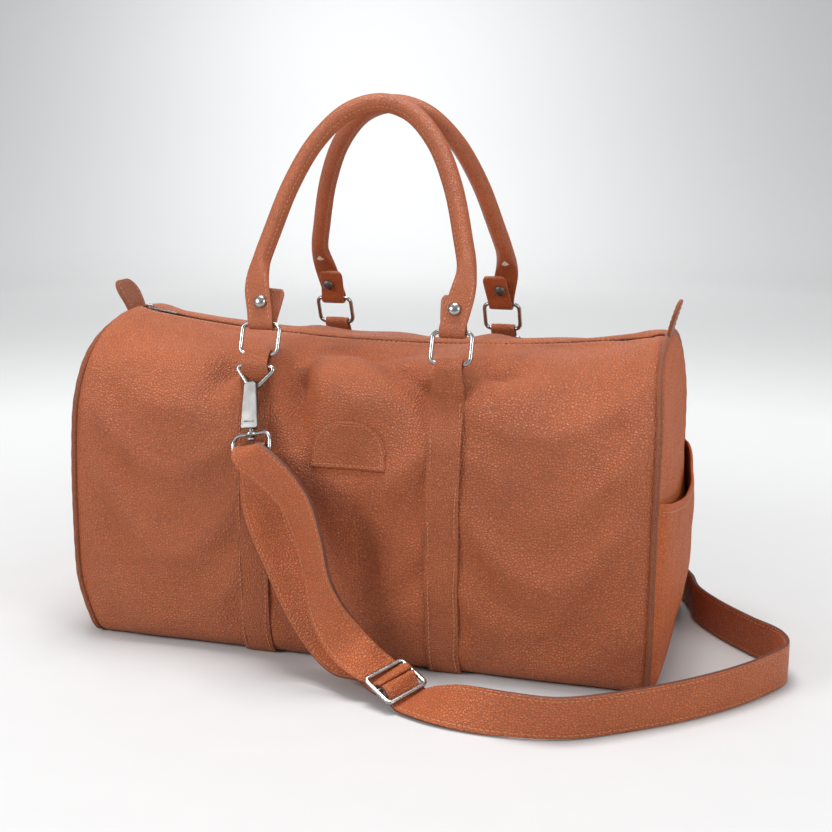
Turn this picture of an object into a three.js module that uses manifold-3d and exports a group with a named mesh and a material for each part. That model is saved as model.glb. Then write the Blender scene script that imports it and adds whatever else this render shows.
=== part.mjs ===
// Leather weekend duffel bag: sewn shell, zip mouth, two rolled handles on metal rings,
// end pockets and a clip-on shoulder strap. Millimetres, +Z up, origin under the middle of the base.
import * as THREE from 'three';
import { mergeVertices } from 'three/addons/utils/BufferGeometryUtils.js';
import Module from 'manifold-3d';

const wasm = await Module();
wasm.setup();

// Driving dimensions.
const GAP = 0.4;
const HALF_LENGTH = 246;
const LEATHER = 3;
const ZIP_LOW_Z = 254;
const ZIP_LOW_X = 20;
const ZIP_RADIUS = 1650;
const ZIP_EDGE_Y = 6.5;
const SHOULDER_Y = 74;
const SHOULDER_Z = 250;
const LIP_HALF = 206;
const PIPING_RADIUS = 2.4;
const PANEL_END = HALF_LENGTH - 5.5;
const SEAM_Y = 94;
const PIPING_X = HALF_LENGTH - 2.7;
const PIPING_INSET = 2.8;
const END_INSET = PIPING_INSET + PIPING_RADIUS + GAP;
const END_DOME = 5;
const POCKET_MOUTH_Z = 156;
const POCKET_DIP = 12;
const POCKET_SLACK = 13;
const BAND_X = 80;
const BAND_WIDTH = 27;
const BAND_THICK = 2;
const WIRE = 1.8;
const RING_HALF_WIDTH = 16;
const RING_CORNER = 5;
const RING_HEIGHT = 25;
const RING_PIVOT_Y = 95;
const RING_PIVOT_Z = 252;
const STRAP_RING_Y = 101;
const STRAP_RING_Z = 243;
const STRAP_RING_DROP = 17;
const STRAP_RING_HALF_WIDTH = 15;
const CLIP_HANG = THREE.MathUtils.degToRad(24);
const CLIP_X = 79.5;
const CLIP_SWAY = THREE.MathUtils.degToRad(7);
const CLIP_EYE_TURN = THREE.MathUtils.degToRad(20);
const HANDLE_LEAN = THREE.MathUtils.degToRad(21);
const HANDLE_RADIUS = 7;
const HANDLE_BORE = 4.2;
const CORE_RADIUS = 3.8;
const HANDLE_END_WIDTH = 19.5;
const LOOP_WIDTH = 21.5;
const LOOP_THICK = 1.6;
const HANDLE_END_THICK = 2.4;
const RIVET_H = 17;
const STRAP_WIDTH = 33;
const STRAP_THICK = 3.2;
const BUCKLE_WIRE = 1.6;
const BUCKLE_HALF = 14.5;

const materials = {
  leather: { color: 0xae5f41, roughness: 0.5, metalness: 0 },
  edge: { color: 0x5e2f20, roughness: 0.6, metalness: 0 },
  nickel: { color: 0xc9c8c4, roughness: 0.28, metalness: 1 },
  tape: { color: 0x1d1a1a, roughness: 0.85, metalness: 0 },
  lining: { color: 0x3a2a22, roughness: 0.9, metalness: 0 },
  board: { color: 0x2a2320, roughness: 0.8, metalness: 0 },
  cord: { color: 0xd8cdb8, roughness: 0.9, metalness: 0 },
};

const bag = new THREE.Group();

function add(name, geometry, material) {
  const mesh = new THREE.Mesh(geometry, new THREE.MeshStandardMaterial(materials[material]));
  mesh.name = name;
  bag.add(mesh);
  return mesh;
}

// ---------- mesh helpers ----------

function signedVolume(positions, index) {
  const a = new THREE.Vector3();
  const b = new THREE.Vector3();
  const c = new THREE.Vector3();
  let volume = 0;
  for (let i = 0; i < index.length; i += 3) {
    a.fromArray(positions, index[i] * 3);
    b.fromArray(positions, index[i + 1] * 3);
    c.fromArray(positions, index[i + 2] * 3);
    volume += a.dot(b.cross(c)) / 6;
  }
  return volume;
}

function closedMesh(points, index) {
  const positions = points.flatMap((p) => [p.x, p.y, p.z]);
  if (signedVolume(positions, index) < 0) index.reverse();
  const geometry = new THREE.BufferGeometry();
  geometry.setAttribute('position', new THREE.Float32BufferAttribute(positions, 3));
  geometry.setIndex(index);
  return geometry;
}

function toManifold(geometry) {
  const bare = geometry.clone();
  bare.deleteAttribute('normal');
  bare.deleteAttribute('uv');
  const merged = mergeVertices(bare, 1e-4);
  const vertProperties = new Float32Array(merged.attributes.position.array);
  const triVerts = new Uint32Array(merged.index.array);
  return new wasm.Manifold(new wasm.Mesh({ numProp: 3, vertProperties, triVerts }));
}

function fromManifold(solid) {
  const mesh = solid.getMesh();
  const geometry = new THREE.BufferGeometry();
  geometry.setAttribute('position', new THREE.Float32BufferAttribute(mesh.vertProperties, 3));
  geometry.setIndex(Array.from(mesh.triVerts));
  return geometry;
}

function join(...parts) {
  return fromManifold(parts.map(toManifold).reduce((a, b) => a.add(b)));
}

function cut(base, ...tools) {
  return fromManifold(tools.map(toManifold).reduce((a, b) => a.subtract(b), toManifold(base)));
}

function common(a, b) {
  return fromManifold(toManifold(a).intersect(toManifold(b)));
}

function boxBetween(low, high) {
  const size = high.map((v, i) => v - low[i]);
  const box = new THREE.BoxGeometry(...size);
  return box.translate(...low.map((v, i) => v + size[i] / 2));
}

function mirror(geometry, axis) {
  const scale = new THREE.Vector3(1, 1, 1);
  scale[axis] = -1;
  const copy = geometry.clone().scale(scale.x, scale.y, scale.z);
  const count = copy.attributes.position.count;
  const index = copy.index ? Array.from(copy.index.array) : Array.from({ length: count }, (_, i) => i);
  copy.setIndex(index.reverse());
  return copy;
}

// A sheet between two grids of points, closed round its four edges.
function slab(outer, inner) {
  const rows = outer.length;
  const cols = outer[0].length;
  const count = rows * cols;
  const points = [...outer.flat(), ...inner.flat()];
  const index = [];
  const at = (i, j) => i * cols + j;
  for (let i = 0; i < rows - 1; i += 1) {
    for (let j = 0; j < cols - 1; j += 1) {
      const [a, b, c, d] = [at(i, j), at(i, j + 1), at(i + 1, j + 1), at(i + 1, j)];
      index.push(a, b, c, a, c, d);
      index.push(count + a, count + c, count + b, count + a, count + d, count + c);
    }
  }
  const border = [];
  for (let j = 0; j < cols - 1; j += 1) border.push(at(0, j));
  for (let i = 0; i < rows - 1; i += 1) border.push(at(i, cols - 1));
  for (let j = cols - 1; j > 0; j -= 1) border.push(at(rows - 1, j));
  for (let i = rows - 1; i > 0; i -= 1) border.push(at(i, 0));
  border.forEach((a, k) => {
    const b = border[(k + 1) % border.length];
    index.push(a, count + b, b, a, count + a, count + b);
  });
  return closedMesh(points, index);
}

// A section swept along points, with a side vector at each point.
function sweep(path, sides, section, closed = false) {
  const n = path.length;
  const m = section.length;
  const points = [];
  path.forEach((p, i) => {
    const before = closed ? path[(i + n - 1) % n] : path[Math.max(i - 1, 0)];
    const after = closed ? path[(i + 1) % n] : path[Math.min(i + 1, n - 1)];
    const along = after.clone().sub(before).normalize();
    const side = sides[i].clone().addScaledVector(along, -sides[i].dot(along)).normalize();
    const face = along.clone().cross(side);
    section.forEach(([a, b]) => points.push(p.clone().addScaledVector(side, a).addScaledVector(face, b)));
  });
  const index = [];
  const steps = closed ? n : n - 1;
  for (let i = 0; i < steps; i += 1) {
    const next = ((i + 1) % n) * m;
    for (let j = 0; j < m; j += 1) {
      const k = (j + 1) % m;
      index.push(i * m + j, i * m + k, next + k, i * m + j, next + k, next + j);
    }
  }
  if (!closed) {
    for (let j = 1; j < m - 1; j += 1) {
      index.push(0, j + 1, j, (n - 1) * m, (n - 1) * m + j, (n - 1) * m + j + 1);
    }
  }
  return closedMesh(points, index);
}

function circle(radius, sides = 8) {
  const step = (2 * Math.PI) / sides;
  return Array.from({ length: sides }, (_, i) => [radius * Math.cos(i * step), radius * Math.sin(i * step)]);
}

function rectangle(width, thick) {
  const [a, b] = [width / 2, thick / 2];
  return [[-a, -b], [a, -b], [a, b], [-a, b]];
}

function fill(list, value) {
  return list.map(() => value.clone());
}

const X = new THREE.Vector3(1, 0, 0);
const Y = new THREE.Vector3(0, 1, 0);
const Z = new THREE.Vector3(0, 0, 1);
const v = (x, y, z) => new THREE.Vector3(x, y, z);

// ---------- bag section ----------

function zipHeight(x) {
  return ZIP_LOW_Z + ZIP_RADIUS - Math.sqrt(ZIP_RADIUS ** 2 - (x - ZIP_LOW_X) ** 2);
}

const SAMPLES = 2;

// Front half of the section at x, from the base seam to the zip edge, set in by a distance.
function outline(x, inset = 0) {
  const sag = zipHeight(x) - ZIP_LOW_Z;
  const corners = [
    [-SEAM_Y, 0], [-104, 3.5], [-111, 16], [-116, 55], [-116.5, 105], [-113.5, 160], [-106, 206],
    [-92, 238], [-SHOULDER_Y, SHOULDER_Z + 0.25 * sag], [-40, 254 + 0.8 * sag],
    [-ZIP_EDGE_Y, ZIP_LOW_Z + sag],
  ];
  const curve = new THREE.CatmullRomCurve3(corners.map(([y, z]) => v(0, y, z)));
  const count = (corners.length - 1) * SAMPLES;
  return Array.from({ length: count + 1 }, (_, i) => {
    const p = curve.getPoint(i / count);
    const t = curve.getTangent(i / count);
    return [p.y + t.z * inset, p.z - t.y * inset];
  });
}

function ramp(from, to, count) {
  return Array.from({ length: count + 1 }, (_, i) => from + ((to - from) * i) / count);
}

function sidePanel() {
  const stations = ramp(-PANEL_END, PANEL_END, 10);
  const outer = stations.map((x) => outline(x).map(([y, z]) => v(x, y, z)));
  const inner = stations.map((x) => outline(x, LEATHER).map(([y, z]) => v(x, y, z)));
  return slab(outer, inner);
}

function addPanels() {
  const whole = sidePanel();
  const [low, high] = [200, 320];
  const notch = boxBetween([-LIP_HALF, -SHOULDER_Y, low], [LIP_HALF, 0, high]);
  const mouth = boxBetween([-LIP_HALF + GAP, -SHOULDER_Y + GAP, low], [LIP_HALF - GAP, 0, high]);
  const panel = cut(whole, notch);
  const lip = common(whole, mouth);
  add('front_panel', panel, 'leather');
  add('back_panel', mirror(panel, 'y'), 'leather');
  add('mouth_flap_front', lip, 'leather');
  add('mouth_flap_back', mirror(lip, 'y'), 'leather');
  const edge = SEAM_Y - 1.6;
  add('base_panel', boxBetween([-PANEL_END, -edge, 0], [PANEL_END, edge, LEATHER]), 'leather');
}

// ---------- ends ----------

function domeAt(u, z) {
  return END_DOME * (1 - u * u) * Math.sin(Math.PI * THREE.MathUtils.clamp(z / 270, 0, 1));
}

function halfWidthAt(z) {
  const rim = outline(HALF_LENGTH, END_INSET);
  const k = rim.findIndex((p) => p[1] > z);
  if (k < 1) return -rim[Math.max(k, 0)][0];
  const t = (z - rim[k - 1][1]) / (rim[k][1] - rim[k - 1][1]);
  return -(rim[k - 1][0] + t * (rim[k][0] - rim[k - 1][0]));
}

const ACROSS = ramp(-1, 1, 8);

function endPanel() {
  const rim = outline(HALF_LENGTH, END_INSET);
  const face = (offset) => rim.map(([y, z]) =>
    ACROSS.map((u) => v(HALF_LENGTH + offset + domeAt(u, z), -y * u, z)));
  return slab(face(0), face(-LEATHER));
}

function endPocket() {
  const bottom = 8;
  const face = (offset) => ramp(0, 1, 8).map((t) => ACROSS.map((u) => {
    const mouth = POCKET_MOUTH_Z - POCKET_DIP * (1 - u * u);
    const z = bottom + t * (mouth - bottom);
    const slack = POCKET_SLACK * (1 - u * u) * t ** 1.5;
    return v(HALF_LENGTH + domeAt(u, z) + GAP + slack + offset, halfWidthAt(z) * u, z);
  }));
  return slab(face(0), face(LEATHER - 0.6));
}

function pipingRim() {
  const front = outline(PIPING_X, PIPING_INSET);
  const path = front.map(([y, z]) => v(PIPING_X, y, z));
  const back = front.map(([y, z]) => v(PIPING_X, -y, z)).reverse();
  const rim = [...path, ...back];
  return sweep(rim, fill(rim, X), circle(PIPING_RADIUS, 6), true);
}

// Oval tab of leather that closes each end of the zip.
function zipTab() {
  const outline2 = new THREE.Shape();
  const [half, rise] = [17, 31];
  outline2.moveTo(-half, 0);
  outline2.bezierCurveTo(-half - 3, rise * 0.6, -half * 0.6, rise, 0, rise);
  outline2.bezierCurveTo(half * 0.6, rise, half + 3, rise * 0.6, half, 0);
  outline2.closePath();
  const tab = new THREE.ExtrudeGeometry(outline2, { depth: 3.4, bevelEnabled: false, curveSegments: 7 });
  tab.rotateX(Math.PI / 2).rotateZ(Math.PI / 2);
  tab.rotateY(THREE.MathUtils.degToRad(22));
  return tab;
}

function addEnds() {
  const panel = endPanel();
  const pocket = endPocket();
  const rim = pipingRim();
  [['right', false], ['left', true]].forEach(([side, flip]) => {
    const place = (geometry) => (flip ? mirror(geometry, 'x') : geometry);
    add(`end_panel_${side}`, place(panel), 'leather');
    add(`end_pocket_${side}`, place(pocket), 'leather');
    add(`piping_${side}`, place(rim), 'edge');
  });
  const lift = (x) => zipHeight(x) + 0.6;
  add('zip_tab_right', zipTab().translate(HALF_LENGTH - 4, 0, lift(HALF_LENGTH)), 'leather');
  add('zip_tab_left', mirror(zipTab(), 'x').translate(4 - HALF_LENGTH, 0, lift(-HALF_LENGTH)), 'leather');
}

// ---------- lining ----------

function sack(inset, halfLength) {
  const front = outline(0, inset);
  const shape = new THREE.Shape();
  front.forEach(([y, z], i) => (i ? shape.lineTo(y, z) : shape.moveTo(y, z)));
  [...front].reverse().forEach(([y, z]) => shape.lineTo(-y, z));
  shape.closePath();
  const solid = new THREE.ExtrudeGeometry(shape, { depth: 2 * halfLength, bevelEnabled: false });
  return solid.rotateX(Math.PI / 2).rotateZ(Math.PI / 2).translate(-halfLength, 0, 0);
}

function addLining() {
  const skin = 1.2;
  const clear = LEATHER + GAP;
  const top = boxBetween([-300, -150, 228], [300, 150, 320]);
  const end = HALF_LENGTH - LEATHER - 3;
  add('lining', cut(sack(clear, end), sack(clear + skin, end - skin), top), 'lining');
  const floor = clear + skin + GAP;
  add('base_board', boxBetween([-226, -86, floor], [226, 86, floor + 2.5]), 'board');
}

// ---------- zip ----------

const TEETH_IN = 0.9;
const TEETH_OUT = 3.2;
const TAPE_OUT = 13;
const TAPE_TOP = -4.4;
const TAPE_LOW = -5.2;
const SLIDER_X = -224;

function zipBar(from, to, y0, y1, z0, z1) {
  const path = ramp(from, to, 12).map((x) => v(x, (y0 + y1) / 2, zipHeight(x) + (z0 + z1) / 2));
  return sweep(path, fill(path, Y), rectangle(y1 - y0, z1 - z0));
}

// Closed end of the zip: both tapes, with a slot for the slider's neck, and a stop across them.
function zipEnd(from, to) {
  const near = zipBar(from, to, -TAPE_OUT, -TEETH_IN, TAPE_LOW, TAPE_TOP);
  const far = mirror(near, 'y');
  const outerEnd = Math.abs(from) > Math.abs(to) ? from : to;
  const inward = -3 * Math.sign(outerEnd);
  const stop = zipBar(Math.min(outerEnd, outerEnd + inward), Math.max(outerEnd, outerEnd + inward),
    -TEETH_OUT, TEETH_OUT, TAPE_LOW - 0.2, TAPE_TOP + 0.6);
  return join(near, far, stop);
}

function addZip() {
  const half = LIP_HALF - GAP;
  const tape = zipBar(-half, half, -TAPE_OUT, -TEETH_OUT - GAP, TAPE_LOW, TAPE_TOP);
  const teeth = zipBar(-half, half, -TEETH_OUT, -TEETH_IN, TAPE_LOW - 0.4, TAPE_TOP + 0.5);
  add('zip_tape_front', tape, 'tape');
  add('zip_tape_back', mirror(tape, 'y'), 'tape');
  add('zip_teeth_front', teeth, 'nickel');
  add('zip_teeth_back', mirror(teeth, 'y'), 'nickel');
  const end = PANEL_END - 1;
  const from = LIP_HALF + GAP;
  add('zip_end_right', zipEnd(from, end), 'tape');
  add('zip_end_left', zipEnd(-end, -from), 'tape');
  addSlider();
}

// Slider and pull are drawn level at the origin, then set on the arc of the zip.
function onZip(geometry, x) {
  geometry.rotateY(-Math.asin((x - ZIP_LOW_X) / ZIP_RADIUS));
  return geometry.translate(x, 0, zipHeight(x));
}

function addSlider() {
  const top = boxBetween([-6.5, -4.2, -3.6], [6.5, 4.2, -2.2]);
  const neck = boxBetween([-6, -0.5, -7], [-3, 0.5, -2.5]);
  const under = boxBetween([-6.5, -4.2, -7.6], [6.5, 4.2, -6.2]);
  const arch = [v(-4.5, 0, -2.4), v(-4, 0, 1), v(-1, 0, 2), v(2, 0, 1.6), v(3.6, 0, -2.4)];
  const bail = sweep(arch, fill(arch, Y), rectangle(2, 1.1));
  add('zip_slider', onZip(join(top, neck, under, bail), SLIDER_X), 'nickel');
  const outer = new THREE.Shape();
  outer.absarc(0, 0, 3, Math.PI / 2, 1.5 * Math.PI, false);
  outer.lineTo(24, -2.3);
  outer.absarc(25, 0, 2.3, -Math.PI / 2, Math.PI / 2, false);
  outer.closePath();
  const eye = new THREE.Path();
  eye.moveTo(-0.6, -1.6);
  eye.lineTo(5.4, -1.6);
  eye.lineTo(5.4, 1.6);
  eye.lineTo(-0.6, 1.6);
  eye.closePath();
  outer.holes.push(eye);
  const pull = new THREE.ExtrudeGeometry(outer, { depth: 1.1, bevelEnabled: false, curveSegments: 6 });
  add('zip_pull', onZip(pull.translate(0, 0, -1.1), SLIDER_X), 'nickel');
}

// ---------- trim on the front ----------

// A sheet lying on the side panel, between two outline positions.
function applied(x0, x1, t0, t1, thick, steps, lift = GAP) {
  const face = (offset) => ramp(x0, x1, 4).map((x) => {
    const rows = outline(x, -offset);
    return ramp(t0, t1, steps).map((t) => {
      const k = Math.min(Math.floor(t), rows.length - 2);
      const [y, z] = rows[k].map((a, i) => a + (rows[k + 1][i] - a) * (t - k));
      return v(x, y, z);
    });
  });
  return slab(face(lift + thick), face(lift));
}

function patch() {
  const [left, right, z0, z1] = [-28, 35, 169, 207];
  const shape = new THREE.Shape();
  const middle = (left + right) / 2;
  shape.moveTo(left, z0);
  shape.lineTo(right, z0);
  shape.lineTo(right - 2, z0 + 14);
  shape.quadraticCurveTo(right - 8, z1, middle, z1);
  shape.quadraticCurveTo(left + 8, z1, left + 2, z0 + 14);
  shape.closePath();
  const block = new THREE.ExtrudeGeometry(shape, { depth: 60, bevelEnabled: false, curveSegments: 8 });
  block.rotateX(Math.PI / 2).translate(0, -80, 0);
  return common(block, applied(left - 5, right + 5, 9, 14, 1.6, 10));
}

// Loop of the band round the bottom bar of the handle ring, and of the strap ring where there is one.
function bandLoop(twoRings) {
  const mid = WIRE + GAP + 0.2 + LOOP_THICK / 2;
  const top = v(0, -RING_PIVOT_Y, RING_PIVOT_Z);
  const bottom = twoRings ? v(0, -STRAP_RING_Y, STRAP_RING_Z) : top.clone().add(v(0, -2.5, -4.5));
  const down = bottom.clone().sub(top).normalize();
  const out = down.clone().cross(X);
  const around = (centre, from, to) => ramp(from, to, 5).map((deg) => {
    const a = THREE.MathUtils.degToRad(deg);
    return centre.clone().addScaledVector(down, -mid * Math.cos(a)).addScaledVector(out, mid * Math.sin(a));
  });
  const path = [...around(top, -90, 90), ...around(bottom, 90, 270)];
  return sweep(path, fill(path, X), rectangle(LOOP_WIDTH, LOOP_THICK), true);
}

function onPanel(t, lift) {
  const rows = outline(0, -lift);
  const k = Math.min(Math.floor(t), rows.length - 2);
  const [y, z] = rows[k].map((a, i) => a + (rows[k + 1][i] - a) * (t - k));
  return v(0, y, z);
}

function addBands() {
  const lift = GAP + BAND_THICK / 2;
  const run = [...ramp(2, 13, 11), 13.6].map((t) => onPanel(t, lift));
  const strip = sweep(run, fill(run, X), rectangle(BAND_WIDTH, BAND_THICK));
  const corners = [['front_left', -1, -1, true], ['front_right', 1, -1, false],
    ['back_left', -1, 1, false], ['back_right', 1, 1, true]];
  corners.forEach(([name, sx, sy, two]) => {
    const single = v(0, -RING_PIVOT_Y - 0.4, RING_PIVOT_Z - 5.6);
    const foot = two ? v(0, 3.1 - STRAP_RING_Y, STRAP_RING_Z - 2) : single;
    const path = [onPanel(13.2, lift), onPanel(13.9, lift + 0.5), foot];
    const link = sweep(path, fill(path, X), rectangle(LOOP_WIDTH, LOOP_THICK));
    const whole = join(strip, link, bandLoop(two)).translate(sx * BAND_X, 0, 0);
    add(`band_${name}`, sy < 0 ? whole : mirror(whole, 'y'), 'leather');
  });
}

// ---------- rings ----------

function bend(cx, cz, radius, from, to) {
  return ramp(from, to, 3).map((deg) => {
    const a = THREE.MathUtils.degToRad(deg);
    return v(cx + radius * Math.cos(a), 0, cz + radius * Math.sin(a));
  });
}

// Closed frame standing on its bottom bar at the origin.
function frame(halfWidth, height, topCorner, lowCorner) {
  const [top, low] = [halfWidth - topCorner, halfWidth - lowCorner];
  const upper = height - topCorner;
  return [...bend(top, upper, topCorner, 0, 90), ...bend(-top, upper, topCorner, 90, 180),
    ...bend(-low, lowCorner, lowCorner, 180, 270), ...bend(low, lowCorner, lowCorner, 270, 360)];
}

function wireLoop(path, radius) {
  return sweep(path, fill(path, Y), circle(radius, 6), true);
}

function addRings() {
  const ring = wireLoop(frame(RING_HALF_WIDTH, RING_HEIGHT, RING_CORNER, RING_CORNER), WIRE);
  ring.rotateX(-HANDLE_LEAN).translate(0, -RING_PIVOT_Y, RING_PIVOT_Z);
  [['front', -1], ['back', 1]].forEach(([side, sy]) => {
    [['left', -1], ['right', 1]].forEach(([hand, sx]) => {
      const placed = (sy < 0 ? ring.clone() : mirror(ring, 'y')).translate(sx * BAND_X, 0, 0);
      add(`handle_ring_${side}_${hand}`, placed, 'nickel');
    });
  });
  const half = STRAP_RING_HALF_WIDTH;
  const vee = [...bend(half - 2.5, -2.5, 2.5, 90, -40), ...bend(0, 8 - STRAP_RING_DROP, 8, -50, -130),
    ...bend(2.5 - half, -2.5, 2.5, 220, 90)];
  [['front', false], ['back', true]].forEach(([side, flip]) => {
    add(`strap_ring_${side}`, hang(wireLoop(vee, WIRE), flip), 'nickel');
  });
}

// Clip frame to bag frame: hung from the strap ring's bar, leaning out with the bag's side.
function hang(geometry, toBack) {
  geometry.rotateX(-CLIP_HANG).translate(-CLIP_X, -STRAP_RING_Y, STRAP_RING_Z);
  return toBack ? mirror(mirror(geometry, 'x'), 'y') : geometry;
}

// ---------- handles ----------

const HANDLE_PIVOT_Y = RING_PIVOT_Y - RING_HEIGHT * Math.sin(HANDLE_LEAN);
const HANDLE_PIVOT_Z = RING_PIVOT_Z + RING_HEIGHT * Math.cos(HANDLE_LEAN);

// Handle plane to bag frame: x along the bag, h up the handle from the ring bar, d out of its plane.
function tilt(geometry) {
  return geometry.rotateX(-HANDLE_LEAN).translate(0, -HANDLE_PIVOT_Y, HANDLE_PIVOT_Z);
}

function handlePath() {
  const half = [[88, 22], [87, 40], [81, 75], [69, 118], [51, 155], [27, 180], [0, 188]];
  const right = half.map(([x, h]) => v(x, 0, h));
  const left = half.slice(0, -1).map(([x, h]) => v(-x, 0, h)).reverse();
  return new THREE.CatmullRomCurve3([...right, ...left]).getSpacedPoints(22);
}

function tubeWithBore() {
  const path = handlePath();
  const outer = sweep(path, fill(path, Y), circle(HANDLE_RADIUS, 8));
  const longer = [...path];
  longer[0] = path[0].clone().add(v(0, 0, -1));
  longer[longer.length - 1] = path[path.length - 1].clone().add(v(0, 0, -1));
  return cut(outer, sweep(longer, fill(longer, Y), circle(HANDLE_BORE, 6)));
}

// Flattened end: down in front of the ring bar, round it, and up behind as a riveted tail.
function handleEnd() {
  const r = WIRE + 2 * GAP + HANDLE_END_THICK / 2;
  const lean = 7;
  const path = [v(lean, -5.4, 32), v(lean * 0.7, -5, 24), v(lean * 0.4, -4, 14), v(lean * 0.1, -r, 5)];
  ramp(0, 180, 5).forEach((deg) => {
    const a = THREE.MathUtils.degToRad(deg);
    path.push(v(0, -r * Math.cos(a), -r * Math.sin(a)));
  });
  path.push(v(-1, r, 5), v(-2, 4.6, 14), v(-3, 6.2, 24), v(-3.5, 7.4, 31));
  const face = v(1, 0, 0.05);
  return sweep(path, fill(path, face), rectangle(HANDLE_END_WIDTH, HANDLE_END_THICK));
}

function post(radius, from, to) {
  return new THREE.CylinderGeometry(radius, radius, to - from, 10).translate(0, (from + to) / 2, 0);
}

function rivet() {
  const profile = [[0, -9.4], [2.6, -8.9], [4.6, -7.6], [4.9, -6.4], [1.5, -6.4], [1.5, 6.6], [0, 6.6]];
  return new THREE.LatheGeometry(profile.map(([r, y]) => new THREE.Vector2(r, y)), 12);
}

function rivetCap() {
  const profile = [[0, 7], [4.4, 7], [4.4, 8], [2.8, 9.2], [0, 9.6]];
  return new THREE.LatheGeometry(profile.map(([r, y]) => new THREE.Vector2(r, y)), 12);
}

function addHandles() {
  const end = handleEnd();
  const right = end.clone().translate(BAND_X, 0, 0);
  const left = mirror(end, 'x').translate(-BAND_X, 0, 0);
  const hole = (sx) => post(1.9, -12, 12).translate(sx * (BAND_X + 1), 0, RIVET_H);
  const whole = cut(join(tubeWithBore(), right, left), hole(1), hole(-1));
  const inside = handlePath().slice(1, -1);
  const core = sweep(inside, fill(inside, Y), circle(CORE_RADIUS, 6));
  [['front', false], ['back', true]].forEach(([side, flip]) => {
    const place = (geometry) => (flip ? mirror(tilt(geometry), 'y') : tilt(geometry));
    add(`handle_${side}`, place(whole.clone()), 'leather');
    add(`handle_core_${side}`, place(core.clone()), 'cord');
    [['left', -1], ['right', 1]].forEach(([hand, sx]) => {
      const at = (geometry) => place(geometry.translate(sx * (BAND_X + 1), 0, RIVET_H));
      add(`rivet_${side}_${hand}`, at(rivet()), 'nickel');
      add(`rivet_cap_${side}_${hand}`, at(rivetCap()), 'nickel');
    });
  });
}

// ---------- snap hooks ----------

const HOOK_SEAT = 0.8;
const EYE_HALF_WIDTH = STRAP_WIDTH / 2 + 2.8;
const EYE_HEIGHT = 15;
const EYE_BAR = -53;
const EYE_WIRE = 1.7;

function extrudeAcross(shape, width) {
  const solid = new THREE.ExtrudeGeometry(shape, { depth: width, bevelEnabled: false, curveSegments: 6 });
  return solid.rotateX(Math.PI / 2).rotateZ(Math.PI / 2).translate(-width / 2, 0, 0);
}

function upright(radius, length, z) {
  return new THREE.CylinderGeometry(radius, radius, length, 10).rotateX(Math.PI / 2).translate(0, -1, z);
}

// Hook in side view (y, z), its crown round the origin; the gate closes the side towards the bag.
function hookBody() {
  const [inner, outer] = [3.8, 6];
  const shape = new THREE.Shape();
  shape.moveTo(outer, -1.5);
  shape.absarc(0, 0, outer, -0.2, Math.PI, false);
  shape.lineTo(-6.6, -14);
  shape.lineTo(-7, -34);
  shape.lineTo(4.4, -34);
  shape.lineTo(4.4, -20.5);
  shape.lineTo(-3.4, -20.5);
  shape.lineTo(-inner, 0);
  shape.absarc(0, 0, inner, Math.PI, -0.2, true);
  shape.closePath();
  const plate = new THREE.Shape();
  plate.moveTo(-5, 2);
  plate.lineTo(5, 2);
  plate.lineTo(7.6, -34);
  plate.lineTo(-7.6, -34);
  plate.closePath();
  const front = new THREE.ExtrudeGeometry(plate, { depth: 2.2, bevelEnabled: false });
  front.rotateX(Math.PI / 2).translate(0, -4.6, 0);
  return join(extrudeAcross(shape, 3.8), front, upright(2.2, 7, -37.4), upright(3.4, 2.2, -41.9));
}

function hookGate() {
  const shape = new THREE.Shape();
  shape.moveTo(2.6, -2.6);
  shape.lineTo(4.8, -2.6);
  shape.lineTo(5, -20);
  shape.lineTo(2, -20);
  shape.closePath();
  const thumb = new THREE.BoxGeometry(4, 2.6, 3).translate(0, 5.4, -9);
  return join(extrudeAcross(shape, 5), thumb);
}

// Swivel eye: a D frame hung on the hook's post; its straight bar carries the strap.
function swivelEye() {
  const loop = wireLoop(frame(EYE_HALF_WIDTH, EYE_HEIGHT, 7, 2.6), EYE_WIRE).translate(0, -1, EYE_BAR);
  const solid = join(loop, upright(4.4, 3, EYE_BAR + EYE_HEIGHT - 0.2));
  const bored = cut(solid, upright(2.6, 12, EYE_BAR + EYE_HEIGHT), upright(3.8, 3.2, -41.8));
  return bored.translate(0, 1, 0).rotateZ(-CLIP_EYE_TURN).translate(0, -1, 0);
}

function addHooks() {
  const seat = (geometry) => geometry.rotateY(-CLIP_SWAY).translate(0, 0, -STRAP_RING_DROP - HOOK_SEAT);
  [['front', false], ['back', true]].forEach(([side, flip]) => {
    add(`hook_${side}`, hang(seat(hookBody()), flip), 'nickel');
    add(`hook_gate_${side}`, hang(seat(hookGate()), flip), 'nickel');
    add(`hook_eye_${side}`, hang(seat(swivelEye()), flip), 'nickel');
  });
}

// ---------- shoulder strap ----------

// Middle of the strap and the direction of its width, from the buckle up to the front clip.
const frontLayer = [
  [[30, -161, 28], [0.45, 0.75, 0.45]],
  [[14, -157, 39], [0.7, 0.4, 0.5]],
  [[-3, -153, 60], [0.9, -0.1, 0.3]],
  [[-16, -148, 90], [0.85, -0.5, 0.1]],
  [[-25, -144, 118], [0.9, -0.45, 0.1]],
  [[-36, -141, 144], [1, -0.35, 0.2]],
  [[-48, -140, 159], [1, -0.3, 0.3]],
  [[-61, -138.5, 170], [1, -0.3, 0.3]],
];

// Second layer, behind the first, from the front clip down to the buckle's middle bar.
const rearLayer = [
  [[-71, -125.5, 166], [1, -0.3, 0.1]],
  [[-67, -123.5, 148], [1, -0.15, 0.1]],
  [[-58, -123, 122], [1, -0.12, 0.1]],
  [[-44, -125, 92], [1, -0.12, 0.15]],
  [[-28, -130, 60], [1, -0.1, 0.25]],
  [[-10, -136, 34], [0.9, 0.2, 0.3]],
  [[10, -146, 19], [0.5, 0.8, 0.3]],
];

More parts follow.
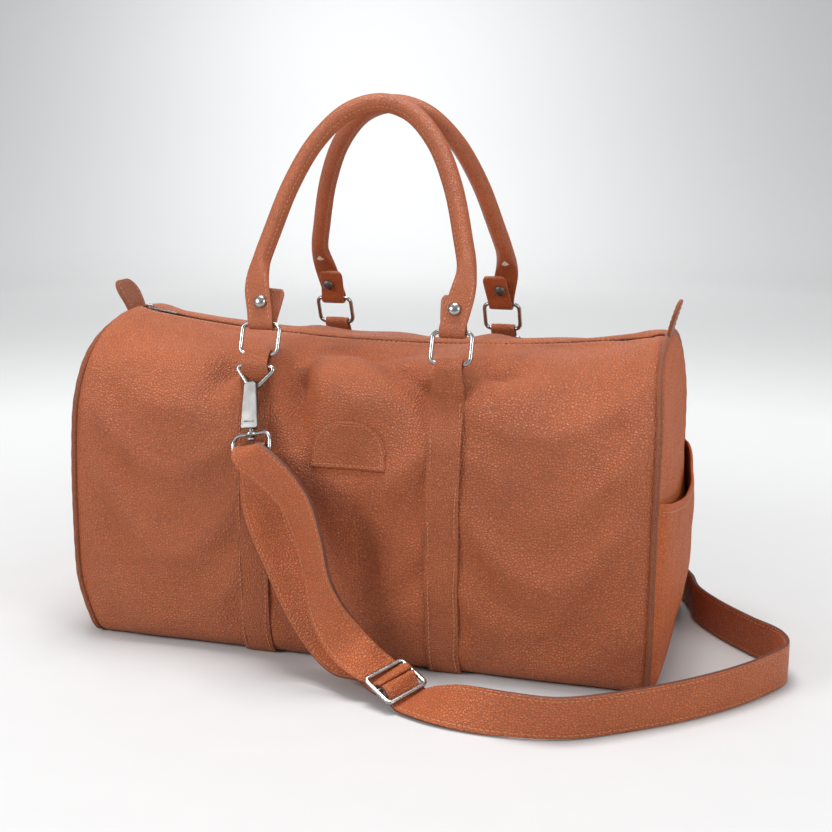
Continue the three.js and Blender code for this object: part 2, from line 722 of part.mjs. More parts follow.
// From the buckle along the floor, round the right end and up the back to the rear clip.
const longRun = [
  [[88, -183, 10], [0.3, 0.8, 0.45]],
  [[110, -192, 14], [0.15, 0.6, 0.75]],
  [[148, -201, 17.5], [0, 0.15, 1]],
  [[190, -197, 17.5], [0, -0.05, 1]],
  [[232, -172, 17], [0, -0.05, 1]],
  [[284, -130, 17], [0, 0, 1]],
  [[324, -84, 17], [0, 0, 1]],
  [[344, -46, 17], [0, 0, 1]],
  [[338, -20, 17], [0, 0, 1]],
  [[314, 4, 17], [0, 0, 1]],
  [[286, 36, 17], [0, 0, 1]],
  [[266, 68, 17], [0, 0, 1]],
  [[258, 98, 17], [0, 0, 1]],
  [[242, 128, 17], [0, 0, 1]],
  [[212, 146, 18], [0.1, 0.1, 1]],
  [[174, 152, 28], [0.6, 0.3, 0.8]],
  [[136, 152, 58], [0.9, 0.1, 0.5]],
  [[108, 146, 98], [1, 0, 0.3]],
  [[90, 137, 138], [1, -0.1, 0.1]],
];

const buckle = { at: v(58, -168, 17), along: v(0.78, -0.42, -0.36).normalize(), side: v(0.35, 0.85, 0.2) };

// Strap running over an eye's bar: the turn, as seen along the bar.
function eyeTurn(toBack) {
  const r = EYE_WIRE + 3 * GAP + STRAP_THICK / 2;
  const centre = v(0, -1, EYE_BAR);
  const bar = v(Math.cos(CLIP_EYE_TURN), -Math.sin(CLIP_EYE_TURN), 0);
  const out = v(-bar.y, bar.x, 0).negate();
  const place = (p) => {
    p.applyAxisAngle(Y, -CLIP_SWAY).add(v(0, 0, -STRAP_RING_DROP - HOOK_SEAT));
    p.applyAxisAngle(X, -CLIP_HANG).add(v(-CLIP_X, -STRAP_RING_Y, STRAP_RING_Z));
    return toBack ? v(-p.x, -p.y, p.z) : p;
  };
  const side = bar.clone().applyAxisAngle(Y, -CLIP_SWAY).applyAxisAngle(X, -CLIP_HANG);
  return [-20, 30, 90, 150, 200].map((deg) => {
    const a = THREE.MathUtils.degToRad(deg);
    const offset = out.clone().multiplyScalar(r * Math.cos(a)).addScaledVector(Z, r * Math.sin(a));
    return [place(centre.clone().add(offset)), toBack ? v(-side.x, -side.y, side.z) : side];
  });
}

function asVectors(rows) {
  return rows.map(([p, w]) => [v(...p), v(...w)]);
}

function atBuckle(step, rise) {
  const side = buckle.side.clone();
  const face = buckle.along.clone().cross(side).normalize();
  const up = face.z < 0 ? -1 : 1;
  return [buckle.at.clone().addScaledVector(buckle.along, step).addScaledVector(face, up * rise), side];
}

function strapPiece(route, steps) {
  const curve = (k) => new THREE.CatmullRomCurve3(route.map((row) => row[k]), false, 'centripetal');
  const [middle, side] = [curve(0), curve(1)];
  const count = route.length - 1;
  const stations = ramp(0, 1, count * steps);
  return sweep(stations.map((t) => middle.getPoint(t)), stations.map((t) => side.getPoint(t)),
    rectangle(STRAP_WIDTH, STRAP_THICK));
}

function addStrap() {
  const over = BUCKLE_WIRE + 2 * GAP + STRAP_THICK / 2;
  const weave = [[1, 1], [3, 1], [11.5, -1], [BUCKLE_HALF, -1], [18, -1]];
  const front = [...weave.map(([step, rise]) => atBuckle(-step, rise * over)), ...asVectors(frontLayer),
    ...eyeTurn(false), ...asVectors(rearLayer), ...[[24, 2.4], [14, 2.4], [3, 1.6]].map(([step, drop]) =>
      atBuckle(-step, -drop * over))];
  add('strap_front', strapPiece(front, 2), 'leather');
  const main = [...weave.map(([step, rise]) => atBuckle(step, rise * over)), ...asVectors(longRun),
    ...eyeTurn(true)];
  const tail = [[70, 125.5, 164], [1, -0.3, 0]];
  add('strap_main', strapPiece([...main, ...asVectors([tail])], 2), 'leather');
}

// Three-bar slide buckle, drawn flat and set on the strap.
function addBuckle() {
  const half = STRAP_WIDTH / 2 + 0.6 + BUCKLE_WIRE;
  const rim = frame(half, 2 * BUCKLE_HALF, 3, 3).map((p) => v(p.x, p.z - BUCKLE_HALF, 0));
  const loop = sweep(rim, fill(rim, Z), circle(BUCKLE_WIRE, 6), true);
  const bar = [v(-half, 0, 0), v(half, 0, 0)];
  const whole = join(loop, sweep(bar, fill(bar, Z), circle(BUCKLE_WIRE, 6)));
  const side = buckle.side.clone().addScaledVector(buckle.along, -buckle.side.dot(buckle.along)).normalize();
  const up = side.clone().cross(buckle.along);
  whole.applyMatrix4(new THREE.Matrix4().makeBasis(side, buckle.along, up));
  add('strap_buckle', whole.translate(...buckle.at.toArray()), 'nickel');
}

addPanels();
addEnds();
addLining();
addZip();
add('front_patch', patch(), 'leather');
addBands();
addRings();
addHandles();
addHooks();
addStrap();
addBuckle();

export default bag;
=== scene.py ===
import math

import bmesh
import bpy
import numpy as np
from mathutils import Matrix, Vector


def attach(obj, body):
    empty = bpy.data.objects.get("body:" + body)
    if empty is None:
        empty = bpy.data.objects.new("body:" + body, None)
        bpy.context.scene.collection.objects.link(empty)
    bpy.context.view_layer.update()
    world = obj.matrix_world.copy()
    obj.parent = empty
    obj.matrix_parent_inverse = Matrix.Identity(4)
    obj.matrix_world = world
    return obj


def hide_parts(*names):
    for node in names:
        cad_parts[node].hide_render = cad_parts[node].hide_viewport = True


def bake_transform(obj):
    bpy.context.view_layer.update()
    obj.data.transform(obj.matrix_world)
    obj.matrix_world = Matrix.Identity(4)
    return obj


# Duffel bag: leather, thread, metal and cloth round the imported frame. Shapes are worked out in millimetres.
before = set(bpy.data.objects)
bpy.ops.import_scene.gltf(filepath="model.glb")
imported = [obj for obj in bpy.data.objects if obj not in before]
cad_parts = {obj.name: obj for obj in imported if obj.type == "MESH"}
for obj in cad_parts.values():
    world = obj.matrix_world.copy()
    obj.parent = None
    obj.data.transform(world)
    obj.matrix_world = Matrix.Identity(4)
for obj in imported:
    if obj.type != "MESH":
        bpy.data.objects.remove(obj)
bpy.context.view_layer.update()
MM = 0.001
X_AXIS, Y_AXIS, Z_AXIS = np.eye(3)

# Driving dimensions, in millimetres and degrees. Those of the frame's solids are the frame's own, but for the
# pocket's slack, which is less.
GAP = 0.4
HALF_LENGTH = 246.0
ZIP_LOW_Z, ZIP_LOW_X, ZIP_RADIUS = 254.0, 20.0, 1650.0
ZIP_EDGE_Y = 6.5
ZIP_S = 10.0
PANEL_END = 241.5
LIP_HALF = 206.0
PIPING_X, PIPING_RADIUS, PIPING_LOW = 243.3, 2.55, 2.9
END_DOME = 5.0
POCKET_MOUTH_Z, POCKET_DIP, POCKET_SLACK = 156.0, 16.0, 7.0
BAND_X, BAND_WIDTH, BAND_THICK = 80.0, 27.0, 2.0
LOOP_WIDTH, LOOP_THICK = 21.5, 1.6
WIRE = 1.8
RING_HALF_WIDTH, RING_CORNER, RING_HEIGHT = 16.0, 5.0, 25.0
RING_PIVOT = np.array([0, -95.0, 252.0])
STRAP_RING = np.array([0, -101.0, 243.0])
STRAP_RING_DROP, STRAP_RING_HALF = 17.0, 15.0
CLIP_X, CLIP_HANG, CLIP_SWAY, CLIP_EYE_TURN = 79.5, 24.0, 7.0, 20.0
HOOK_SEAT = 0.8
EYE_HALF_WIDTH, EYE_HEIGHT, EYE_BAR, EYE_WIRE = 19.3, 15.0, -53.0, 1.7
HANDLE_LEAN, HANDLE_RADIUS = 21.0, 7.0
RIVET_X, RIVET_H = 81.0, 17.0
STRAP_WIDTH, STRAP_THICK = 33.0, 3.2
BUCKLE_WIRE, BUCKLE_HALF = 1.6, 14.5
SLIDER_X = -224.0
TAPE_TOP = -4.4

# Seams, linings, the bending zones of leather that rides between two bodies, and the cloth simulation.
SEAM_INSET, HEM_INSET = 3.0, 3.4
FLOOR_GAP = 0.2
SEAM_DIP = 1.9
LINING_GAP, END_LINING_GAP = 3.4, 5
END_INSET, POCKET_INSET = 3.6, 4.0
MOUTH_BEND_OUT, MOUTH_BEND_IN, MOUTH_BEND_Z = 84, 58, 254
CLIP_BEND_LOW, CLIP_BEND_HIGH, CLIP_BEND_Y = 96, 158, 130
SLUMP_STEPS, SLUMP_CAP = 22, 3.4


# ---------- numbers ----------

def unit(a):
    a = np.asarray(a, float)
    return a / np.maximum(np.linalg.norm(a, axis=-1, keepdims=True), 1e-9)


def ease(t):
    t = np.clip(t, 0, 1)
    return t * t * (3 - 2 * t)


def spline(points, params):
    """Smooth curve through the points, read at params from 0 to the last point's number."""
    p = np.asarray(points, float)
    s = np.clip(np.asarray(params, float), 0, len(p) - 1)
    k = np.minimum(s.astype(int), len(p) - 2)
    w = (s - k)[:, None]
    p = np.vstack([2 * p[0] - p[1], p, 2 * p[-1] - p[-2]])
    a, b, c, d = (p[k + i] for i in range(4))
    gap = [np.maximum((step ** 2).sum(1, keepdims=True), 1e-9) ** 0.25 for step in (b - a, c - b, d - c)]
    t1 = ((b - a) / gap[0] - (c - a) / (gap[0] + gap[1]) + (c - b) / gap[1]) * gap[1]
    t2 = ((c - b) / gap[1] - (d - b) / (gap[1] + gap[2]) + (d - c) / gap[2]) * gap[1]
    return b + t1 * w + (-3 * b + 3 * c - 2 * t1 - t2) * w ** 2 + (2 * b - 2 * c + t1 + t2) * w ** 3


def arc_length(path):
    return np.concatenate([[0], np.cumsum(np.linalg.norm(np.diff(path, axis=0), axis=1))])


def even(points, spacing, *others):
    """The curve through the points, and lists that go with them, at even steps along it."""
    dense = np.linspace(0, len(points) - 1, len(points) * 40)
    path = spline(points, dense)
    run = arc_length(path)
    steps = np.linspace(0, run[-1], max(int(run[-1] / spacing), 2) + 1)
    params = np.interp(steps, run, dense)
    return [spline(p, params) for p in (points, *others)]


def turn(p, degrees, axis):
    """Points turned about X (0), Y (1) or Z (2)."""
    c, s = math.cos(math.radians(degrees)), math.sin(math.radians(degrees))
    p = np.asarray(p, float)
    q = p.copy()
    a, b = (axis + 1) % 3, (axis + 2) % 3
    q[..., a] = c * p[..., a] - s * p[..., b]
    q[..., b] = s * p[..., a] + c * p[..., b]
    return q


def round_angles(count):
    return np.linspace(0, 2 * math.pi, count, endpoint=False)


def square_to(a, along):
    """The part of each vector that is square to the direction beside it, as unit vectors."""
    return unit(a - (a * along).sum(1, keepdims=True) * along)


def columns_at(at, run, values):
    return np.stack([np.interp(at, run, values[:, k]) for k in range(3)], 1)


def waves(a, b, seed, size, shortest=50, longest=140):
    """Gentle unevenness over a surface with coordinates a, b, in millimetres."""
    rng = np.random.default_rng(seed)
    total = 0
    for _ in range(8):
        heading, phase = rng.uniform(0, math.pi), rng.uniform(0, 2 * math.pi)
        k = 2 * math.pi / rng.uniform(shortest, longest)
        total = total + np.sin(k * (a * math.cos(heading) + b * math.sin(heading)) + phase)
    return size * total / 4


def face_of(side):
    return "front" if side < 0 else "back"


def hand_of(side):
    return "left" if side < 0 else "right"


# ---------- meshes ----------

def grid_faces(rows, cols, wrap_rows=False, wrap_cols=False):
    i, j = np.meshgrid(np.arange(rows if wrap_rows else rows - 1), np.arange(cols if wrap_cols else cols - 1),
                       indexing="ij")
    up, right = (i + 1) % rows, (j + 1) % cols
    corners = [i * cols + j, i * cols + right, up * cols + right, up * cols + j]
    return np.stack(corners, -1).reshape(-1, 4).tolist()


def sheet(points):
    """A grid of points with its faces."""
    return points, grid_faces(*points.shape[:2])


def two_faces(top, under):
    """Closed piece from two matching grids of points, joined round their border."""
    rows, cols = top.shape[:2]
    count = rows * cols
    faces = grid_faces(rows, cols)
    faces += [[k + count for k in f[::-1]] for f in faces]
    border = ([(0, j) for j in range(cols - 1)] + [(i, cols - 1) for i in range(rows - 1)]
              + [(rows - 1, j) for j in range(cols - 1, 0, -1)] + [(i, 0) for i in range(rows - 1, 0, -1)])
    ids = [i * cols + j for i, j in border]
    faces += [[a, b, b + count, a + count] for a, b in zip(ids, ids[1:] + ids[:1])]
    return np.concatenate([top.reshape(-1, 3), under.reshape(-1, 3)]), faces


def merge(*parts):
    """One list of points and faces from several."""
    points, faces, count = [], [], 0
    for p, f in parts:
        points.append(np.asarray(p, float).reshape(-1, 3))
        faces += [[k + count for k in face] for face in f]
        count += len(points[-1])
    return np.vstack(points), faces


def tube(rings, closed=False):
    """Skin over a row of closed outlines, with caps unless it closes on itself."""
    n, m = rings.shape[:2]
    faces = grid_faces(n, m, closed, True)
    if not closed:
        faces += [list(range(m))[::-1], list(range((n - 1) * m, n * m))]
    return rings.reshape(-1, 3), faces


def sweep(path, sides, section, closed=False):
    """A section, fixed or one for each point, carried along a path with its first axis along the sides."""
    path = np.asarray(path, float)
    if closed:
        along = unit(np.roll(path, -1, 0) - np.roll(path, 1, 0))
    else:
        along = unit(np.gradient(path, axis=0))
    side = square_to(np.broadcast_to(np.asarray(sides, float), path.shape), along)
    face = np.cross(along, side)
    section = np.broadcast_to(section, (len(path), *np.shape(section)[-2:]))
    return tube(path[:, None] + section[..., :1] * side[:, None] + section[..., 1:] * face[:, None], closed)


def circle(radius, count):
    a = round_angles(count)
    return np.stack([radius * np.cos(a), radius * np.sin(a)], 1)


def lathe(profile, count=28):
    """Profile of (radius, height) pairs turned about Z."""
    return tube(np.array([np.c_[circle(r, count), np.full(count, h)] for r, h in profile]))


def slab(shape, low, high):
    """Outline of (a, b) pairs made solid between two heights along the third axis."""
    return tube(np.array([np.c_[shape, np.full(len(shape), h)] for h in (low, high)], float))


def rounded(a, b, power, count):
    """Closed outline between an ellipse (power 2) and a rectangle (higher powers)."""
    c, s = np.cos(round_angles(count)), np.sin(round_angles(count))
    return np.stack([a * np.sign(c) * abs(c) ** (2 / power), b * np.sign(s) * abs(s) ** (2 / power)], 1)


def mend(mesh, weld=False):
    """Makes the faces agree on their outside, after welding points that coincide if asked."""
    work = bmesh.new()
    work.from_mesh(mesh)
    if weld:
        bmesh.ops.remove_doubles(work, verts=work.verts, dist=1e-6)
    bmesh.ops.recalc_face_normals(work, faces=work.faces)
    work.to_mesh(mesh)
    work.free()


def make(name, points, faces, material, closed=True):
    metres = np.asarray(points, float).reshape(-1, 3) * MM
    mesh = bpy.data.meshes.new(name)
    mesh.from_pydata(metres.tolist(), [], faces)
    mesh.materials.append(material)
    mend(mesh)
    if not closed:
        face_outward(mesh)
    mesh.shade_smooth()
    rest = mesh.attributes.new("rest", "FLOAT_VECTOR", "POINT")
    rest.data.foreach_set("vector", metres.ravel().astype(np.float32))
    obj = bpy.data.objects.new(name, mesh)
    bpy.context.scene.collection.objects.link(obj)
    return obj


def face_outward(mesh):
    """Turns an open sheet's faces away from the middle of the bag."""
    middle = Vector((0, 0, 0.12))
    if sum((p.center - middle).dot(p.normal) * p.area for p in mesh.polygons) < 0:
        mesh.flip_normals()


def harden(obj, width, segments=2):
    """Rounds the edges of a hard piece and keeps its flats flat."""
    bevel = obj.modifiers.new("edges", "BEVEL")
    bevel.width = width * MM
    bevel.segments = segments
    bevel.limit_method = "ANGLE"
    bevel.angle_limit = math.radians(35)
    obj.modifiers.new("flats", "WEIGHTED_NORMAL").keep_sharp = True


def stands_for(nodes):
    if nodes:
        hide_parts(*nodes)


def piece(name, mesh, material, body, slot, *nodes, closed=True):
    """A piece that rides on one body whole, and the frame's nodes that it replaces."""
    obj = make(name, *mesh, material, closed)
    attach(obj, body)
    stands_for(nodes)
    return obj


def move_mesh(mesh, place, *args):
    """Points and faces, with the points put through a placing function."""
    return place(mesh[0], *args), mesh[1]


def points_of(mesh):
    """A mesh's points, in millimetres."""
    co = np.empty(len(mesh.vertices) * 3)
    mesh.vertices.foreach_get("co", co)
    return co.reshape(-1, 3) / MM


def bend(obj, body, start, end, weights, slot, *nodes):
    """Bakes the transform and works out weights for a bend between the bag and a body from the rest shape;
    the weights are not kept, so nothing bends.
    """
    tuple(np.array(start) * MM)
    tuple(np.array(end) * MM)
    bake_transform(obj)
    value = np.clip(weights(points_of(obj.data)), 0, 1).astype(np.float32)
    stands_for(nodes)


# ---------- materials ----------

class Shader:
    """Short hand for a node material."""

    def __init__(self, name):
        self.material = bpy.data.materials.new(name)
        self.material.use_nodes = True
        self.tree = self.material.node_tree
        self.bsdf = self.tree.nodes["Principled BSDF"]

    def node(self, kind, settings=None, **inputs):
        made = self.tree.nodes.new(kind)
        for key, value in (settings or {}).items():
            setattr(made, key, value)
        for key, value in inputs.items():
            self.put(made.inputs[key.replace("_", " ")], value)
        return made

    def put(self, socket, value):
        if isinstance(value, bpy.types.NodeSocket):
            self.tree.links.new(value, socket)
        else:
            socket.default_value = value

    def vector(self, operation, *values, out=0):
        made = self.node("ShaderNodeVectorMath", {"operation": operation})
        for socket, value in zip(made.inputs, values):
            self.put(socket, value)
        return made.outputs[out]

    def rest(self, *scale):
        """The point's place at rest, so that a pattern stays on its piece."""
        found = self.node("ShaderNodeAttribute", {"attribute_name": "rest"}).outputs["Vector"]
        return self.vector("MULTIPLY", found, scale) if scale else found

    def noise(self, where, scale, detail=2.0, rough=0.5, out="Fac"):
        return self.node("ShaderNodeTexNoise", Vector=where, Scale=scale, Detail=detail,
                         Roughness=rough).outputs[out]

    def waves(self, where, direction, scale, distortion=0.0):
        return self.node("ShaderNodeTexWave", {"bands_direction": direction}, Vector=where, Scale=scale,
                         Distortion=distortion).outputs["Fac"]

    def math(self, operation, a, b):
        made = self.node("ShaderNodeMath", {"operation": operation})
        self.put(made.inputs[0], a)
        self.put(made.inputs[1], b)
        return made.outputs[0]

    def span(self, value, low, high, to_low=0.0, to_high=1.0):
        return self.node("ShaderNodeMapRange", Value=value, From_Min=low, From_Max=high, To_Min=to_low,
                         To_Max=to_high).outputs[0]

    def colour(self, factor, a, b):
        made = self.node("ShaderNodeMix", {"data_type": "RGBA"})
        for socket, value in ((0, factor), (6, a), (7, b)):
            self.put(made.inputs[socket], value)
        return made.outputs[2]

    def bump(self, height, distance, strength, **before):
        return self.node("ShaderNodeBump", Height=height, Distance=distance, Strength=strength,
                         **before).outputs[0]

    def surface(self, **inputs):
        for key, value in inputs.items():
            self.put(self.bsdf.inputs[key.replace("_", " ")], value)
        return self.material


def rgb(red, green, blue):
    """A colour given as screen values from 0 to 255."""
    return tuple(((c / 255 + 0.055) / 1.055) ** 2.4 for c in (red, green, blue)) + (1.0,)


def leather(name, shade=1.0, grain=1.0, rough=0.3, depth=0.85, shine=0.5):
    """Cognac leather: pebbles of two sizes with creases between them, pores, and slow changes of colour; the
    creases are painted darker as painted shade.
    """
    s = Shader(name)
    where = s.rest()
    drift = s.noise(where, 150.0, out="Color")
    shifted = s.vector("MULTIPLY_ADD", drift, (0.0022, 0.0022, 0.0022), where)

    def pebbles(scale, reach):
        cells = s.node("ShaderNodeTexVoronoi", {"feature": "DISTANCE_TO_EDGE"}, Vector=shifted,
                       Scale=scale * grain, Randomness=0.85)
        return s.math("POWER", s.span(cells.outputs["Distance"], 0.0, reach), 0.75)

    height = s.math("ADD", s.math("MULTIPLY", pebbles(430.0, 0.45), 0.8),
                    s.math("MULTIPLY", pebbles(1100.0, 0.4), 0.2))
    patches = s.noise(where, 38.0, 4.0, 0.6)
    base, deep, light, dark = (rgb(*[c * shade for c in tone]) for tone in
                               ((170, 87, 44), (150, 74, 36), (181, 95, 50), (96, 40, 16)))
    tone = s.colour(s.span(s.noise(where, 9.0, 3.0), 0.35, 0.68), base, light)
    tone = s.colour(s.span(patches, 0.5, 0.75, 0.0, 0.4), tone, deep)
    # Painted shade: the creases between the pebbles are darkened towards the dark tone.
    tone = s.colour(s.span(height, 0.05, 0.55, 0.6, 0.0), tone, dark)
    relief = s.bump(s.noise(where, 1700.0), 0.00025, 0.35)
    relief = s.bump(height, 0.0014, depth, Normal=relief)
    relief = s.bump(patches, 0.004, 0.18, Normal=relief)
    gloss = s.span(height, 0.1, 0.9, rough + 0.26, rough)
    return s.surface(Base_Color=tone, Roughness=gloss, Normal=relief, Specular_IOR_Level=shine)


def painted_edge(name):
    s = Shader(name)
    where = s.rest()
    tone = s.colour(s.noise(where, 180.0, 3.0), rgb(96, 46, 30), rgb(72, 34, 22))
    return s.surface(Base_Color=tone, Roughness=0.5, Normal=s.bump(s.noise(where, 900.0), 0.0003, 0.4))


def thread(name):
    """Waxed thread with its twist."""
    s = Shader(name)
    where = s.rest()
    colour = s.colour(s.noise(where, 300.0), rgb(198, 130, 84), rgb(166.32, 109.2, 70.56))
    return s.surface(Base_Color=colour, Roughness=0.62, Sheen_Weight=0.3,
                     Normal=s.bump(s.waves(where, "DIAGONAL", 700.0, 1.0), 0.0002, 0.6))


def nickel(name, level, rough, brushed=0.0):
    """Satin nickel with fine scratches, duller in patches."""
    s = Shader(name)
    lines = s.noise(s.rest(3200.0, 3200.0, 260.0), 1.0)
    cloudy = s.noise(s.rest(), 120.0, 3.0)
    tone = s.colour(s.span(cloudy, 0.35, 0.7), (level, level * 0.985, level * 0.955, 1),
                    (level * 0.86, level * 0.84, level * 0.81, 1))
    gloss = s.math("ADD", s.span(cloudy, 0.3, 0.7, rough - 0.05, rough + 0.07),
                   s.span(lines, 0.2, 0.8, 0.0, 0.08))
    return s.surface(Base_Color=tone, Metallic=1.0, Roughness=gloss,
                     Normal=s.bump(lines, 0.00006, 0.25 + brushed))


def woven(name, dark, light, scale):
    """Plain woven cloth: two sets of threads crossing."""
    s = Shader(name)
    where = s.rest(scale, scale, scale)
    cross = s.math("MULTIPLY", s.waves(where, "X", 1.0), s.waves(where, "Y", 1.0))
    tone = s.colour(s.math("ADD", cross, s.noise(where, 0.05, 3.0)), rgb(*dark), rgb(*light))
    return s.surface(Base_Color=tone, Roughness=0.85, Normal=s.bump(cross, 0.0003, 0.7), Sheen_Weight=0.25)


def moulded(name, tone):
    """Grained board or rubber for what sits inside the bag."""
    s = Shader(name)
    where = s.node("ShaderNodeTexCoord").outputs["Object"]
    grain = s.noise(where, 900.0, 3.0)
    return s.surface(Base_Color=s.colour(grain, rgb(*tone), rgb(*[c * 0.8 for c in tone])), Roughness=0.75,
                     Normal=s.bump(grain, 0.0002, 0.5))


HIDE = leather("leather_body")
# Painted light: the ends and their pockets are the sides' leather, painted lighter (shade 1.12) for the light
# that falls on the bag's ends, with less shine.
END_HIDE_PAINTED_LIGHT = leather("leather_end_painted_light", shade=1.12, rough=0.44, depth=0.7, shine=0.24)
TRIM = leather("leather_trim", shade=0.99, grain=1.15)
STRAP = leather("leather_strap", shade=1.09, grain=1.05)
ROLLED = leather("leather_rolled", shade=0.95, grain=1.3, rough=0.26, depth=0.4)
TAB = leather("leather_tab", shade=0.86, grain=1.2)
# Painted shade: the piping is the body's leather, painted darker (shade 0.86) for the shade along the seam.
PIPING = leather("leather_piping_painted_shade", shade=0.86, grain=1.3)
EDGE = painted_edge("painted_edge")
THREAD = thread("thread_tan")
NICKEL = nickel("nickel_satin", level=0.4, rough=0.2)
BRUSHED = nickel("nickel_brushed", level=0.19, rough=0.31, brushed=0.5)
# Darker nickel for the rivet caps; on the hook it is the painted shade of the slot.
DARK_METAL = nickel("nickel_shade", level=0.16, rough=0.4)
TAPE = woven("zip_tape", (22, 19, 19), (44, 38, 36), 1500.0)
LINING = woven("lining_cloth", (60, 44, 35), (88, 66, 52), 900.0)


# ---------- camera, light, floor ----------

def place(name, data, at, aim):
    """A camera or lamp at a point, turned to face another."""
    obj = bpy.data.objects.new(name, data)
    obj.location = at
    obj.rotation_euler = (Vector(aim) - obj.location).to_track_quat("-Z", "Y").to_euler()
    bpy.context.scene.collection.objects.link(obj)
    return obj


def add_camera():
    data = bpy.data.cameras.new("camera")
    data.sensor_width = 36.0
    data.lens = 56.25
    data.clip_start, data.clip_end = 0.05, 60.0
    bpy.context.scene.camera = place("camera", data, (0.3330, -1.0532, 0.4303), (0.025, 0.0, 0.187))


def add_light(name, at, size, power, aim=(0, 0, 0.15)):
    data = bpy.data.lights.new(name, "AREA")
    data.shape = "RECTANGLE"
    data.size, data.size_y = size
    data.energy = power
    place(name, data, at, aim)


def add_studio():
    add_light("key", (-1.35, -1.5, 1.1), (0.7, 0.5), 25)
    add_light("fill", (1.8, -0.9, 1.0), (0.9, 0.9), 17)
    add_light("top", (-0.1, 0.1, 2.3), (1.1, 0.9), 50)
    add_light("backdrop", (-0.9, 2.7, 1.35), (1.0, 0.3), 17, aim=(-1.1, 3.9, 0.1))
    world = bpy.data.worlds.new("studio")
    bpy.context.scene.world = world
    world.use_nodes = True
    back = world.node_tree.nodes["Background"]
    back.inputs[0].default_value = (0.93, 0.94, 0.95, 1)
    back.inputs[1].default_value = 0.55
    s = Shader("floor")
    where = s.node("ShaderNodeTexCoord").outputs["Object"]
    away = s.vector("DISTANCE", where, (0.0, -0.1, 0.0), out="Value")
    pale = s.colour(s.noise(where, 30.0, 4.0), (0.54, 0.54, 0.54, 1), (0.56, 0.56, 0.56, 1))
    # Painted light and shade on the floor: darker near the bag, lighter further out, and darker again up the
    # far rise.
    pale = s.colour(s.span(away, 0.4, 1.1), pale, (0.74, 0.74, 0.74, 1))
    pale = s.colour(s.span(away, 2.6, 4.1), pale, (0.5, 0.505, 0.51, 1))
    s.surface(Base_Color=pale, Roughness=0.6)
    rise = spline([(0.01, 0), (1.2, 0), (2.4, 0), (3.1, 0.06), (3.7, 0.5), (4.0, 1.3), (4.15, 2.6)],
                  np.linspace(0, 6, 60))
    points, faces = lathe(np.array(rise) / MM, 96)
    floor = make("floor", points, faces[:-1], s.material, closed=False)
    floor.location.z = -0.0002
    bpy.context.scene.view_settings.view_transform = "Standard"


# ---------- side skins ----------

def zip_height(x):
    return ZIP_LOW_Z + ZIP_RADIUS - np.sqrt(ZIP_RADIUS ** 2 - (np.asarray(x, float) - ZIP_LOW_X) ** 2)


def section_corners(x):
    sag = float(zip_height(x)) - ZIP_LOW_Z
    return [(-94, 0), (-104, 3.5), (-111, 16), (-116, 55), (-116.5, 105), (-113.5, 160), (-106, 206),
            (-92, 238), (-74, 250 + 0.25 * sag), (-40, 254 + 0.8 * sag), (-ZIP_EDGE_Y, ZIP_LOW_Z + sag)]


def outline(xs, s, inset=0.0):
    """Front half of the bag's section at each x, from the base seam (s = 0) to the zip edge (s = 10)."""
    rows = []
    for x in np.atleast_1d(xs):
        corners = section_corners(x)
        p = spline(corners, s)
        t = unit(spline(corners, s + 0.01) - spline(corners, s - 0.01))
        rows.append(np.c_[np.full(len(s), x), p[:, 0] + t[:, 1] * inset, p[:, 1] - t[:, 0] * inset])
    return np.array(rows)


def squeeze(p, left=False):
    """Pulls the lower left corners in, the right ones hardly, and leans the top of each end inward."""
    p = np.array(p, float)
    reach = ease((abs(p[..., 0]) - 110) / 136)
    low = np.where((p[..., 0] < 0) | left, 9, 1) * ease(1 - p[..., 2] / 62)
    high = 6 * ease((p[..., 2] - 195) / 85)
    p[..., 0] -= np.sign(p[..., 0]) * reach * (low + high)
    return p


# Hollows (and, with a minus, swells): x, distance up the side from the base seam, half sizes, depth, lean.
FRONT_HOLLOWS = [(-108, 258, 15, 26, 16.0, 0.25), (-50, 256, 13, 38, 20.0, -0.15),
                 (-46, 212, 10, 34, 8.5, -0.2), (38, 262, 17, 30, 13.0, -0.9), (60, 246, 12, 24, 8.0, 0),
                 (112, 274, 28, 15, 14.0, -0.2), (10, 122, 14, 66, 6.5, -0.12), (-10, 300, 50, 13, 6.5, 0),
                 (-160, 290, 46, 17, 4.0, 0.1), (176, 246, 30, 20, 3.5, 0.3), (-150, 222, 50, 22, -4.0, 0),
                 (4, 236, 28, 26, -6.0, 0), (140, 236, 40, 22, -3.0, 0), (-212, 130, 22, 60, 2.4, 0),
                 (205, 92, 30, 44, 2.0, 0.4), (150, 150, 60, 70, -1.8, 0)]
BACK_HOLLOWS = [(-96, 264, 26, 24, 5.0, 0.2), (30, 258, 24, 26, 5.0, -0.2), (110, 266, 24, 22, 4.5, 0.2),
                (-10, 120, 20, 64, 3.0, 0.1), (-170, 150, 44, 60, 2.6, -0.3), (170, 120, 46, 60, 2.6, 0.3),
                (0, 222, 60, 18, -2.2, 0), (-150, 220, 50, 20, -2.0, 0), (150, 224, 50, 20, -2.0, 0)]


def hollow(x, run, rows):
    total = np.zeros(np.broadcast(x, run).shape)
    for cx, cr, rx, rr, depth, lean in rows:
        dx = x - cx - lean * (run - cr)
        total += depth * np.exp(-(dx / rx) ** 2 - ((run - cr) / rr) ** 2)
    return total


